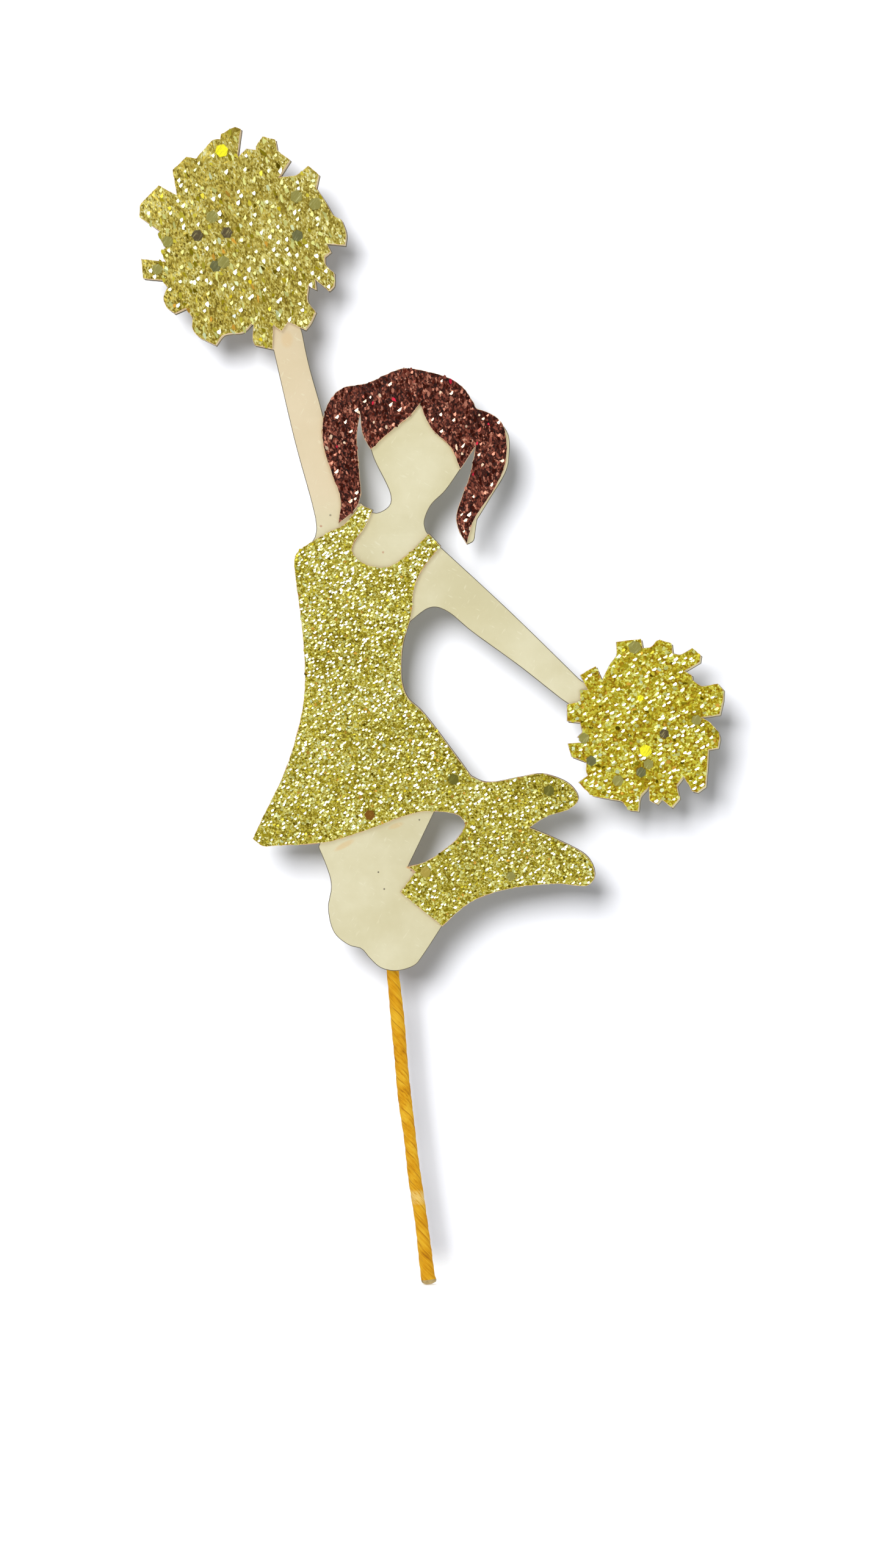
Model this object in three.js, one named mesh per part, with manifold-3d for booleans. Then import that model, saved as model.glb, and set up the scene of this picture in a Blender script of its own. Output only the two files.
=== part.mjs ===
// A cheerleader cake topper: a cut board figure with glitter card on its front and a
// twisted paper stick glued to its back. Millimetres, +Z up. The figure stands in the
// XZ plane and faces -Y. The origin is the centre of the stick's lower end.

import * as THREE from 'three';
import Module from 'manifold-3d';
import { mergeVertices } from 'three/addons/utils/BufferGeometryUtils.js';

const wasm = await Module();
wasm.setup();

// Sheet thicknesses, from the back of the figure to its front.
const BOARD_THICKNESS = 0.8;
const ADHESIVE_THICKNESS = 0.1;
const GLITTER_THICKNESS = 0.4;

// The stick, whose upper end lies hidden behind the figure.
const STICK_RADIUS = 1.15;
const STICK_SIDES = 10;
const STICK_STEPS = 26;
const STICK_LEAN = THREE.MathUtils.degToRad(6.5);
const KNEE_HEIGHT = 55.7;
const KNEE_X = -6.4;
const STICK_TOP = 100;

// Hot glue dabs over the hidden stretch of the stick.
const DAB_HEIGHTS = { hot_glue_lower: 65, hot_glue_upper: 95 };
const DAB_HALF_WIDTH = 4.2;
const DAB_HALF_LENGTH = 7.5;
const DAB_SIDES = 28;
const DAB_RINGS = 6;
const DAB_COVER = 0.7;
const CUT_GAP = 0.3;

// Layers, as distances in front of the stick's axis.
const STICK_CLEARANCE = 0.05;
const BOARD_BACK = STICK_RADIUS + STICK_CLEARANCE;
const BOARD_FRONT = BOARD_BACK + BOARD_THICKNESS;
const GLITTER_BACK = BOARD_FRONT + ADHESIVE_THICKNESS;

// Where the two pom poms sit, and the glue discs under them.
const UPPER_POM = { x: -32.9, z: 186, glueRadius: 12.5 };
const LOWER_POM = { x: 38.3, z: 99, glueRadius: 9.5 };
const GLUE_DISC_SIDES = 40;

// How far the board's own cut edge lies from that of the glitter card glued on it.
const NO_SLIP = { x: 0, z: 0 };
const DRESS_SLIP = { x: 0.15, z: 0.1 };
const UPPER_POM_SLIP = { x: 0.25, z: -0.2 };
const LOWER_POM_SLIP = { x: 0.3, z: -0.25 };

const CURVE_SEGMENTS = 3;

const FINISHES = {
  board: { color: 0xe5dcb8, roughness: 0.7, metalness: 0 },
  adhesive: { color: 0xd9d2bd, roughness: 0.5, metalness: 0 },
  goldGlitter: { color: 0xaa9632, roughness: 0.35, metalness: 0.8 },
  brownGlitter: { color: 0x50282a, roughness: 0.4, metalness: 0.6 },
  paper: { color: 0xeba51f, roughness: 0.8, metalness: 0 },
  hotGlue: { color: 0xe9e4d2, roughness: 0.3, metalness: 0 },
};

// An outline is a start point and its stretches. A stretch of one point is a straight
// line, and a longer one is a smooth curve through its points.
function outline(start, stretches) {
  const shape = new THREE.Shape();
  shape.moveTo(start[0], start[1]);
  for (const stretch of stretches) {
    if (stretch.length === 1) {
      shape.lineTo(stretch[0][0], stretch[0][1]);
    } else {
      shape.splineThru(stretch.map(([x, z]) => new THREE.Vector2(x, z)));
    }
  }
  return shape;
}

// The dress runs on into both boots as one cut sheet, clockwise from the left strap.
function dressOutline() {
  const neckline = [[-11.2, 134.4], [-13.4, 131.2], [-13.2, 129.3], [-11, 127.6]];
  const neckRight = [[-7.4, 127.2], [-3.8, 129.4], [0, 133.1]];
  const bust = [[-1.1, 126.8], [-2.6, 123.2], [-2.9, 119.8], [-3.4, 117.4]];
  const waist = [[-4.6, 113.2], [-4.8, 107.6], [-3.8, 104.2], [-1.5, 102], [0.9, 99.1], [7.5, 90.2]];
  const upperBoot = [
    [10.6, 89.1], [16.4, 90.1], [20.2, 90.6], [24.6, 89], [26.5, 86.2], [24.6, 84.2], [21, 83.1],
    [17.9, 81.1],
  ];
  const lowerBoot = [[22.9, 78.9], [27.8, 76.2], [29.4, 73], [28.3, 70.9], [25.2, 70.9]];
  const sole = [[21.4, 71.1], [14, 70.2], [7.5, 67.9], [2.4, 63.6]];
  const insideKnee = [[-0.2, 75.2], [4.4, 78.5], [6.4, 81.4], [5, 83.4], [1, 84]];
  const hem = [[-3.1, 83.5], [-13.4, 79.8], [-19.4, 78.3], [-29.3, 77.8]];
  const flare = [[-29.7, 82.2], [-25, 92.2], [-22.2, 103], [-22.1, 113], [-23.8, 127.3]];
  const shoulder = [[-23.2, 129.9], [-18.6, 132.9], [-15.2, 134.5]];
  return outline([-12, 138.2], [
    [[-9.9, 137.3]], neckline, neckRight, [[2.1, 130.9]], bust, waist, upperBoot, lowerBoot,
    sole, [[-5, 69.6]], [[-2.4, 73.2]], [[-3.6, 74.2]], insideKnee, hem, [[-31.1, 79.1]], flare,
    shoulder, [[-12, 138.2]],
  ]);
}

// The hair with its two pigtails, clockwise from the crease above the right pigtail.
function hairOutline() {
  const rightPigtail = [
    [12.1, 153.7], [13.7, 150.6], [13.6, 145.6], [11.6, 141], [8.4, 136.2], [7.4, 133.6],
    [6.8, 131.2],
  ];
  const rightInside = [[5.2, 134.1], [5.1, 137.2], [7.3, 143.5], [8.3, 148.6]];
  const rightFringe = [[3.9, 148.4], [0.3, 152], [-1.5, 156.2]];
  const leftFringe = [[-3.4, 153.9], [-7.1, 150.9], [-10.2, 148]];
  const leftInside = [[-12.7, 150.6], [-12.3, 144.5], [-12, 140], [-13.2, 137.2], [-16, 134.9]];
  const leftPigtailAndCrown = [
    [-15.6, 139.2], [-17, 143.4], [-18.7, 149.2], [-18.4, 154.6], [-15.8, 158.6], [-10.8, 159.8],
    [-7.6, 161.3], [-4.4, 162.4], [-1, 162], [3.4, 160.8], [6.3, 158.8], [8.5, 155.3],
  ];
  return outline([8.5, 155.3], [
    rightPigtail, rightInside, [[5.6, 144.5]], rightFringe, leftFringe, [[-11.7, 150.8]],
    [[-12.1, 154.2]], leftInside, leftPigtailAndCrown,
  ]);
}

// A pom pom's outline is a ring of tufts. Each row runs from the valley before its tuft
// around the tuft's blunt end, clockwise, and is measured from the pom pom's centre.
function pomOutline(pom, tufts) {
  const points = tufts.flat().map(([x, z]) => new THREE.Vector2(pom.x + x, pom.z + z));
  return new THREE.Shape(points);
}

function upperPomOutline() {
  return pomOutline(UPPER_POM, [
    [[-5.2, 16.9], [-4, 17], [-3.9, 17.9], [-1.4, 19.2], [-0.3, 18.8]],
    [[-1, 13.6], [0.6, 15.3], [2.3, 15.1]],
    [[2.3, 15.6], [3.5, 17.5], [5.8, 16.9], [6.1, 15], [8.4, 13.3]],
    [[6.4, 10.2], [9.6, 10.7], [11.6, 12.3], [13.5, 10.7]],
    [[13, 8.4], [14.6, 6], [16.2, 3.4]],
    [[17.5, 2.6], [18.3, 0.3], [18.1, -1.8], [14.9, -1.5]],
    [[15.6, -2.9], [14.5, -3.8], [14.6, -5.1], [16.2, -6.7], [16.1, -9], [15.2, -9.9]],
    [[12.8, -7.8], [13, -9.7], [11.6, -9]],
    [[11.5, -11.6], [12.9, -13.6], [11.9, -15.7], [11, -16.8]],
    [[8.1, -15.4], [6.8, -17.1], [5.4, -15.9]],
    [[5.3, -20.2], [2.1, -19.5], [1.8, -18.6], [1.9, -15.4]],
    [[0, -17.2], [-3.4, -17.7], [-4.8, -19.5]],
    [[-7.7, -18.1], [-8.9, -16.6], [-9, -14.6], [-10.1, -13]],
    [[-12.1, -13.9], [-13.6, -12.6], [-14, -10.8], [-13.3, -9.3]],
    [[-14.3, -8], [-17.6, -7.7], [-18, -4.2]],
    [[-13.7, -4.7], [-14.4, -2.9], [-13.7, -2.3], [-15, 0]],
    [[-14.7, 0.7], [-18.3, 3.2], [-18.2, 5.2], [-14.9, 8.8]],
    [[-11.7, 7.1], [-12.4, 11.5], [-10, 13.9]],
    [[-8.2, 13.6]],
  ]);
}

function lowerPomOutline() {
  return pomOutline(LOWER_POM, [
    [[-5.1, 12.6], [-5.1, 15], [-0.7, 15.5], [-0.4, 13.9]],
    [[1.1, 14.1], [1.9, 15], [2.6, 15.4], [4.7, 14.7], [4.9, 13]],
    [[6.2, 12.7], [8.4, 13.9], [9.9, 12.6], [9.7, 11.4]],
    [[7, 9.8], [8.3, 9.1], [8.4, 8.3]],
    [[9.9, 7.2], [12.9, 7.6], [13.9, 6.5], [13.8, 4.7], [13.2, 2.1]],
    [[10, 1.6], [11.5, 0.7], [13.2, -1.7], [12.9, -3.8]],
    [[11.2, -4.1], [11, -7.3], [10.9, -8.5], [10.7, -10.6], [9.2, -11.7], [8.4, -11.5]],
    [[6.8, -8.9], [5.6, -10.5], [6.1, -12.7], [4.7, -14.4]],
    [[2.9, -12.9], [2.1, -13.8], [0.8, -13.1]],
    [[0.7, -10.7], [-0.8, -12.4], [-1.2, -15], [-2.8, -14.8]],
    [[-4.2, -13.3], [-6.1, -12.9], [-9.4, -12.2], [-11.8, -9.9]],
    [[-10.1, -8.7], [-10.4, -8], [-10.3, -6.4]],
    [[-13, -5.4], [-13.7, -3], [-10.6, -2.8]],
    [[-12, -1.9], [-11.1, -1], [-11.5, 0.7]],
    [[-13.8, 0.9], [-13.8, 3.9], [-11.5, 4.4]],
    [[-11.5, 6.5], [-10.2, 6.5]],
    [[-11.5, 9.1], [-8.7, 10.7], [-7.6, 8.2], [-6.1, 11.2]],
  ]);
}

// The bare board that shows: the head and neck, both arms, the thigh and knees, and a
// sliver past the right pigtail. Each outline runs on under the glitter card beside it.
function headOutline() {
  const cheekAndShoulder = [[-9.4, 145.8], [-6.9, 140.6], [-7, 138.1], [-9.6, 136.8], [-11.9, 138.6]];
  const neckAndJaw = [[-0.5, 133.8], [-0.7, 135.6], [0.5, 138.3], [3, 140.8], [5.6, 144.5]];
  return outline([-10.2, 148], [
    cheekAndShoulder, [[-14.3, 138.6]], [[-16.6, 132.5]], [[-11, 124]], [[-4.5, 124]],
    [[0, 133.1]], neckAndJaw, [[6.8, 147.6]], [[1.9, 156.3]], [[-6.7, 156.3]], [[-10.2, 148]],
  ]);
}

function rightPigtailOutline() {
  const outerEdge = [[14.1, 150.8], [14.3, 147.2], [13.6, 143.9], [10.8, 139.2], [8.6, 135.6]];
  const outerTip = [[8.3, 133.6], [8, 131.9], [6.8, 131.2]];
  return outline([12.1, 153.7], [
    outerEdge, outerTip, [[6.6, 138]], [[9.5, 147]], [[10, 152]], [[12.1, 153.7]],
  ]);
}

function raisedArmOutline() {
  return outline([-28.3, 171.5], [
    [[-27.5, 165.8]], [[-23.8, 149.9], [-20, 135.5], [-20.8, 131.4]], [[-15.3, 130.5]],
    [[-15.3, 137]], [[-17, 145.5]], [[-18.7, 154.1], [-21.1, 162.8], [-22.4, 168.9]], [[-24, 173]],
  ]);
}

function loweredArmOutline() {
  const underside = [[24.7, 103], [16.2, 109.6], [7.8, 115.7], [3.4, 119.3], [0.2, 120], [-3.4, 117.4]];
  return outline([0, 132.2], [
    [[2.1, 130.8]], [[9.5, 124], [16.6, 117.3], [26.7, 107.4]], [[32, 103.5]], [[29, 101]],
    underside, [[-6, 118]], [[-6, 129]],
  ]);
}

function thighOutline() {
  const knees = [
    [-17.3, 71.5], [-17.8, 66.8], [-16.8, 62.6], [-14.2, 60.3], [-11.9, 59.6], [-10.4, 57.9],
    [-8.4, 56.2], [-5.6, 55.7], [-2.6, 56.6], [-1, 58.4], [2.4, 63.6],
  ];
  return outline([-19.5, 77.7], [
    knees, [[4, 67]], [[-1, 73]], [[-3.6, 74.2]], [[1.1, 84]], [[0, 86]], [[-18, 82]], [[-19.5, 77.7]],
  ]);
}

// A flat sheet with the given outline. Its back lies at the given layer.
function sheet(shape, layer, thickness) {
  const options = { depth: thickness, bevelEnabled: false, curveSegments: CURVE_SEGMENTS };
  const geometry = new THREE.ExtrudeGeometry(shape, options);
  return geometry.translate(0, 0, layer);
}

function toManifold(geometry) {
  const bare = geometry.clone();
  bare.deleteAttribute('normal');
  bare.deleteAttribute('uv');
  const merged = mergeVertices(bare);
  const vertProperties = merged.attributes.position.array;
  const triVerts = new Uint32Array(merged.index.array);
  return new wasm.Manifold(new wasm.Mesh({ numProp: 3, vertProperties, triVerts }));
}

function fromManifold(solid) {
  const { vertProperties, triVerts } = solid.getMesh();
  const geometry = new THREE.BufferGeometry();
  geometry.setAttribute('position', new THREE.BufferAttribute(vertProperties, 3));
  geometry.setIndex(new THREE.BufferAttribute(triVerts, 1));
  geometry.computeVertexNormals();
  return geometry;
}

// The board is one piece. It backs each glitter sheet, and where it was cut a little to
// one side of that sheet, a sliver of board shows past the sheet's edge.
function boardGeometry(glitter) {
  const bareOutlines = [
    headOutline(), rightPigtailOutline(), raisedArmOutline(), loweredArmOutline(), thighOutline(),
  ];
  const pieces = bareOutlines.map((shape) => sheet(shape, BOARD_BACK, BOARD_THICKNESS));
  for (const { shape, slip } of glitter) {
    const backing = sheet(shape, BOARD_BACK, BOARD_THICKNESS);
    pieces.push(backing, backing.clone().translate(slip.x, slip.z, 0));
  }
  const solids = pieces.map(toManifold);
  return fromManifold(solids.reduce((board, solid) => board.add(solid)));
}

function roundBar(path, radius, steps) {
  const section = new THREE.Shape();
  section.absarc(0, 0, radius, 0, 2 * Math.PI);
  const options = { steps, extrudePath: path, bevelEnabled: false, curveSegments: STICK_SIDES / 2 };
  return new THREE.ExtrudeGeometry(section, options);
}

// A point on the straight, hidden stretch of the stick's axis.
function stickAt(height) {
  const x = KNEE_X - (height - KNEE_HEIGHT) * Math.tan(STICK_LEAN);
  return new THREE.Vector3(x, height, 0);
}

// The rolled paper bends a little where it has been pushed and pulled.
function stickGeometry() {
  const bends = [[0, 0], [-1.3, 11], [-2.7, 20.5], [-3.3, 25.9], [-4.3, 33.5], [-5.5, 46.8]];
  const points = bends.map(([x, z]) => new THREE.Vector3(x, z, 0));
  points.push(stickAt(KNEE_HEIGHT), stickAt((KNEE_HEIGHT + STICK_TOP) / 2), stickAt(STICK_TOP));
  return roundBar(new THREE.CatmullRomCurve3(points), STICK_RADIUS, STICK_STEPS);
}

// A low dome of glue on the board's back, with a channel that clears the stick.
function glueDabGeometry(height) {
  const rise = BOARD_BACK + STICK_RADIUS + DAB_COVER;
  const profile = [new THREE.Vector2(0, 0)];
  for (let ring = 0; ring <= DAB_RINGS; ring += 1) {
    const angle = (ring / DAB_RINGS) * (Math.PI / 2);
    profile.push(new THREE.Vector2(DAB_HALF_WIDTH * Math.cos(angle), rise * Math.sin(angle)));
  }
  profile[profile.length - 1].x = 0;
  const dome = new THREE.LatheGeometry(profile, DAB_SIDES);
  dome.scale(1, 1, DAB_HALF_LENGTH / DAB_HALF_WIDTH);
  dome.rotateX(-Math.PI / 2);
  dome.rotateZ(STICK_LEAN);
  const centre = stickAt(height);
  dome.translate(centre.x, centre.y, BOARD_BACK);
  const ends = [stickAt(height - 2 * DAB_HALF_LENGTH), stickAt(height + 2 * DAB_HALF_LENGTH)];
  const channel = roundBar(new THREE.LineCurve3(...ends), STICK_RADIUS + CUT_GAP, 1);
  return fromManifold(toManifold(dome).subtract(toManifold(channel)));
}

function glueDisc(pom) {
  const disc = new THREE.CylinderGeometry(pom.glueRadius, pom.glueRadius, ADHESIVE_THICKNESS, GLUE_DISC_SIDES);
  disc.rotateX(Math.PI / 2);
  return disc.translate(pom.x, pom.z, BOARD_FRONT + ADHESIVE_THICKNESS / 2);
}

function piece(name, geometry, finish) {
  const mesh = new THREE.Mesh(geometry, new THREE.MeshStandardMaterial(FINISHES[finish]));
  mesh.name = name;
  return mesh;
}

const dress = dressOutline();
const hair = hairOutline();
const upperPom = upperPomOutline();
const lowerPom = lowerPomOutline();

const glitter = [
  { name: 'dress_and_boots', shape: dress, slip: DRESS_SLIP, finish: 'goldGlitter' },
  { name: 'hair', shape: hair, slip: NO_SLIP, finish: 'brownGlitter' },
  { name: 'pom_pom_upper', shape: upperPom, slip: UPPER_POM_SLIP, finish: 'goldGlitter' },
  { name: 'pom_pom_lower', shape: lowerPom, slip: LOWER_POM_SLIP, finish: 'goldGlitter' },
];

// The figure is drawn flat, with its height along the group's own Y, and stood up.
const figure = new THREE.Group();
figure.rotation.x = Math.PI / 2;
figure.add(piece('base_silhouette', boardGeometry(glitter), 'board'));
for (const { name, shape, finish } of glitter) {
  figure.add(piece(name, sheet(shape, GLITTER_BACK, GLITTER_THICKNESS), finish));
}
figure.add(piece('adhesive_dress', sheet(dress, BOARD_FRONT, ADHESIVE_THICKNESS), 'adhesive'));
figure.add(piece('adhesive_hair', sheet(hair, BOARD_FRONT, ADHESIVE_THICKNESS), 'adhesive'));
figure.add(piece('adhesive_pom_upper', glueDisc(UPPER_POM), 'adhesive'));
figure.add(piece('adhesive_pom_lower', glueDisc(LOWER_POM), 'adhesive'));
figure.add(piece('paper_stick', stickGeometry(), 'paper'));
for (const [name, height] of Object.entries(DAB_HEIGHTS)) {
  figure.add(piece(name, glueDabGeometry(height), 'hotGlue'));
}

const topper = new THREE.Group();
topper.add(figure);

export default topper;
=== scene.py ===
"""Looks of a layered card cheerleader topper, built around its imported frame.

The figure is cut from flat sheets that lie in the XZ plane and face -Y, with a
twisted paper stick glued behind them. Every length is in metres. The outlines
come from the frame's own nodes: they are smoothed, built up again as fine
plates, and covered with glitter flakes that are real geometry.
"""

from __future__ import annotations

import logging
import math
from collections.abc import Sequence
from dataclasses import dataclass
from enum import Enum
from typing import ClassVar

import bmesh
import bpy
import numpy as np
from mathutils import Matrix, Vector
from mathutils.geometry import tessellate_polygon


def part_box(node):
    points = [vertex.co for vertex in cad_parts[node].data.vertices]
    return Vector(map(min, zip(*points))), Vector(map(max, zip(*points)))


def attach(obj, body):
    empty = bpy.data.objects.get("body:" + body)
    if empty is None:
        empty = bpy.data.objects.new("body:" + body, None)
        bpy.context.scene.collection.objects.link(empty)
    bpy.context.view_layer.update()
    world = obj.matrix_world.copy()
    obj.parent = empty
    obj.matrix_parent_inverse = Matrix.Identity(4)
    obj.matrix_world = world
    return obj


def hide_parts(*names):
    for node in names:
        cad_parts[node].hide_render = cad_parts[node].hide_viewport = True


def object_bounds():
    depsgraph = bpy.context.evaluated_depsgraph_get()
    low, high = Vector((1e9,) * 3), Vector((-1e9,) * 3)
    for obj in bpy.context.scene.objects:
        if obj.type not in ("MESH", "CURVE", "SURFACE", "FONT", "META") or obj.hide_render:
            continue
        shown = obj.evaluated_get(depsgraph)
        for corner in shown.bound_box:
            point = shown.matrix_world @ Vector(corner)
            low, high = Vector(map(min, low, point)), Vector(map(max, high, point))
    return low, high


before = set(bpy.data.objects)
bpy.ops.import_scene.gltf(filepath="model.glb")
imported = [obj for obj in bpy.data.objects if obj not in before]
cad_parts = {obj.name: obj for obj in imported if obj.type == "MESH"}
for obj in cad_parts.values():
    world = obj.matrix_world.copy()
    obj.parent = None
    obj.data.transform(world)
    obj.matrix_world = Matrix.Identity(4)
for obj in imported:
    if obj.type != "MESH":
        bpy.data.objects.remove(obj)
cad_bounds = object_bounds()

MM = 0.001
BODY = "root"
OUTWARD = Vector((0.0, -1.0, 0.0))

# How close two of the frame's points are to count as one, and how far a point may
# lie from a flat face and still be on it.
WELD = 0.003 * MM
FLAT = 0.01 * MM
# Points of an outline that are closer than this are taken as one.
CLOSE = 0.1 * MM
# The area of a hexagon whose radius is 1, rounded.
HEXAGON_AREA = 2.6

# Where the main light stands. Glints are tipped towards it.
KEY_AZIMUTH = math.radians(-34.0)
KEY_ELEVATION = math.radians(38.0)

Colour = tuple[float, float, float, float]
Place = tuple[float, float, float]
log = logging.getLogger("topper")


def grey(level: float) -> Colour:
    """A linear grey, from 0 for black to 1 for white."""
    return (level, level, level, 1.0)


def direction(azimuth: float, elevation: float) -> Place:
    """Turns two angles into the unit vector that points that way from the figure.

    Args:
        azimuth: The angle round the figure, with 0 straight in front of it, in radians.
        elevation: The angle above level, in radians.

    Returns:
        The vector's x, y and z.
    """
    level = math.cos(elevation)
    return (level * math.sin(azimuth), -level * math.cos(azimuth), math.sin(elevation))


def srgb(red: int, green: int, blue: int) -> Colour:
    """Turns a display colour into the linear colour that the shaders work in.

    Args:
        red: Red from 0 to 255.
        green: Green from 0 to 255.
        blue: Blue from 0 to 255.

    Returns:
        The linear red, green and blue with an alpha of 1.
    """
    parts = (part / 255.0 for part in (red, green, blue))
    linear = [p / 12.92 if p <= 0.04045 else ((p + 0.055) / 1.055) ** 2.4 for p in parts]
    return (linear[0], linear[1], linear[2], 1.0)


class Shade:
    """A shader socket with arithmetic, so that shader maths reads as Python expressions."""

    def __init__(self, graph: Graph, socket: bpy.types.NodeSocket) -> None:
        """Keeps the graph that new nodes go to and the socket that gives the value."""
        self.graph = graph
        self.socket = socket

    def __add__(self, other: Shade | float) -> Shade:
        """This value plus the other."""
        return self.graph.maths("ADD", self, other)

    def __radd__(self, other: float) -> Shade:
        """The other number plus this value."""
        return self.graph.maths("ADD", other, self)

    def __sub__(self, other: Shade | float) -> Shade:
        """This value less the other."""
        return self.graph.maths("SUBTRACT", self, other)

    def __rsub__(self, other: float) -> Shade:
        """The other number less this value."""
        return self.graph.maths("SUBTRACT", other, self)

    def __mul__(self, other: Shade | float) -> Shade:
        """This value times the other."""
        return self.graph.maths("MULTIPLY", self, other)

    def __rmul__(self, other: float) -> Shade:
        """The other number times this value."""
        return self.graph.maths("MULTIPLY", other, self)

    def __pow__(self, power: float) -> Shade:
        """This value raised to a power."""
        return self.graph.maths("POWER", self, power)

    def ramped(self, low: float, high: float) -> Shade:
        """Eases from 0 where this value is at low to 1 where it is at high.

        Args:
            low: The value that gives 0.
            high: The value that gives 1; it may be the smaller of the two.

        Returns:
            The eased value, from 0 to 1.
        """
        settings = {"interpolation_type": "SMOOTHSTEP"}
        if low < high:
            return self.graph.node(
                "ShaderNodeMapRange", settings, {"Value": self, "From Min": low, "From Max": high}
            )
        return 1.0 - self.ramped(high, low)


class Graph:
    """The node tree of one material, or of the world."""

    def __init__(self, name: str, world: bool = False) -> None:
        """Makes an empty material, or a world, of that name."""
        self.owner = bpy.data.worlds.new(name) if world else bpy.data.materials.new(name)
        self.ending = "ShaderNodeOutputWorld" if world else "ShaderNodeOutputMaterial"
        self.owner.use_nodes = True
        self.tree = self.owner.node_tree
        self.tree.nodes.clear()

    def node(
        self,
        kind: str,
        settings: dict[str, object] | None = None,
        values: dict[str | int, object] | None = None,
        output: str | int = 0,
    ) -> Shade:
        """Adds a node of any kind.

        Args:
            kind: The node's type name.
            settings: The node's own settings, set first; "stops" are a ramp's stops.
            values: What each input socket holds or is linked to.
            output: The name or number of the output that is wanted.

        Returns:
            The wanted output.
        """
        made = self.tree.nodes.new(kind)
        for key, setting in (settings or {}).items():
            if key == "stops":
                self._set_stops(made.color_ramp, setting)
            else:
                setattr(made, key, setting)
        for key, value in (values or {}).items():
            if isinstance(value, Shade):
                self.tree.links.new(value.socket, made.inputs[key])
            else:
                made.inputs[key].default_value = value
        return Shade(self, made.outputs[output])

    @staticmethod
    def _set_stops(ramp: bpy.types.ColorRamp, stops: Sequence[tuple[float, Colour]]) -> None:
        """Gives a ramp its stops.

        Args:
            ramp: The ramp, with the two stops that every new ramp has.
            stops: Each stop's place from 0 to 1 and its colour, in order.
        """
        while len(ramp.elements) < len(stops):
            ramp.elements.new(1.0)
        for element, (place, colour) in zip(ramp.elements, stops):
            element.position = place
            element.color = colour

    def maths(self, operation: str, first: Shade | float, second: Shade | float = 0.0) -> Shade:
        """One Math node, whose second value is left out where it takes only one."""
        return self.node("ShaderNodeMath", {"operation": operation}, {0: first, 1: second})

    def vectors(self, operation: str, first: object, second: object) -> Shade:
        """One Vector Math node."""
        return self.node("ShaderNodeVectorMath", {"operation": operation}, {0: first, 1: second})

    def scaled(self, vector: Shade, factor: float) -> Shade:
        """A vector times a number."""
        return self.node("ShaderNodeVectorMath", {"operation": "SCALE"}, {0: vector, "Scale": factor})

    def place(self) -> Shade:
        """Where a surface point is, in the frame, in metres."""
        return self.node("ShaderNodeTexCoord", output="Object")

    def axes(self, vector: Shade) -> tuple[Shade, Shade, Shade]:
        """Splits a vector into its three parts.

        Args:
            vector: The vector to split.

        Returns:
            Its x, y and z.
        """
        split = self.node("ShaderNodeSeparateXYZ", None, {"Vector": vector})
        return tuple(Shade(self, out) for out in split.socket.node.outputs[:3])

    def noise(self, vector: Shade, size: float, detail: float = 3.0, rough: float = 0.55) -> Shade:
        """Soft noise from 0 to 1.

        Args:
            vector: Where the noise is read.
            size: The width of its blotches, in metres.
            detail: How many finer layers it has.
            rough: How strong the finer layers are.

        Returns:
            The noise value.
        """
        values = {"Vector": vector, "Scale": 1.0 / size, "Detail": detail, "Roughness": rough}
        return self.node("ShaderNodeTexNoise", None, values)

    def cells(self, vector: Shade, size: float, output: str = "Color", random: float = 1.0) -> Shade:
        """Voronoi cells, with a random colour each.

        Args:
            vector: Where the cells are read.
            size: The width of a cell, in metres.
            output: The Voronoi node's output that is wanted.
            random: How uneven the cells are.

        Returns:
            That output.
        """
        values = {"Vector": vector, "Scale": 1.0 / size, "Randomness": random}
        return self.node("ShaderNodeTexVoronoi", None, values, output)

    def mix(self, factor: Shade | float, first: object, second: object, blend: str = "MIX") -> Shade:
        """Blends two colours.

        Args:
            factor: 0 for the first colour and 1 for the second.
            first: A colour or a link.
            second: A colour or a link.
            blend: How the second lies over the first.

        Returns:
            The blended colour.
        """
        settings = {"data_type": "RGBA", "blend_type": blend}
        return self.node("ShaderNodeMix", settings, {0: factor, 6: first, 7: second}, 2)

    def ramp(self, value: Shade, stops: Sequence[tuple[float, Colour]]) -> Shade:
        """A colour looked up from a value."""
        return self.node("ShaderNodeValToRGB", {"stops": stops}, {"Fac": value})

    def bump(self, height: Shade, depth: float, strength: float = 1.0) -> Shade:
        """A normal from a height of 0 to 1 that stands for that depth in metres."""
        values = {"Height": height, "Distance": depth, "Strength": strength}
        return self.node("ShaderNodeBump", None, values)

    def finish(self, values: dict[str, object]) -> bpy.types.Material:
        """Ends the material in one Principled surface.

        Args:
            values: What each of the surface's sockets holds or is linked to.

        Returns:
            The finished material.
        """
        return self.end(self.node("ShaderNodeBsdfPrincipled", None, values))

    def end(self, surface: Shade) -> bpy.types.Material | bpy.types.World:
        """Links a shader to the output, and gives the material or the world."""
        output = self.tree.nodes.new(self.ending)
        self.tree.links.new(surface.socket, output.inputs["Surface"])
        return self.owner


@dataclass(frozen=True)
class Mark:
    """A stain or speck on the bare board, placed as shares of the board's own box.

    Attributes:
        across: Share of the board's width, from its left edge.
        up: Share of the board's height, from its lowest edge.
        width: Half its width.
        height: Half its height.
        colour: The colour that it turns the board.
        strength: How much of the board's own colour it hides.
        slope: How far it climbs for each step to the right.
    """

    across: float
    up: float
    width: float
    height: float
    colour: Colour
    strength: float
    slope: float = 0.0


GLUE_TAN = srgb(218, 176, 106)
GLUE_PINK = srgb(220, 172, 140)
AMBER_GLUE = srgb(222, 158, 86)
SOOT = srgb(70, 58, 50)
RUST = srgb(178, 96, 70)

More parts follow.
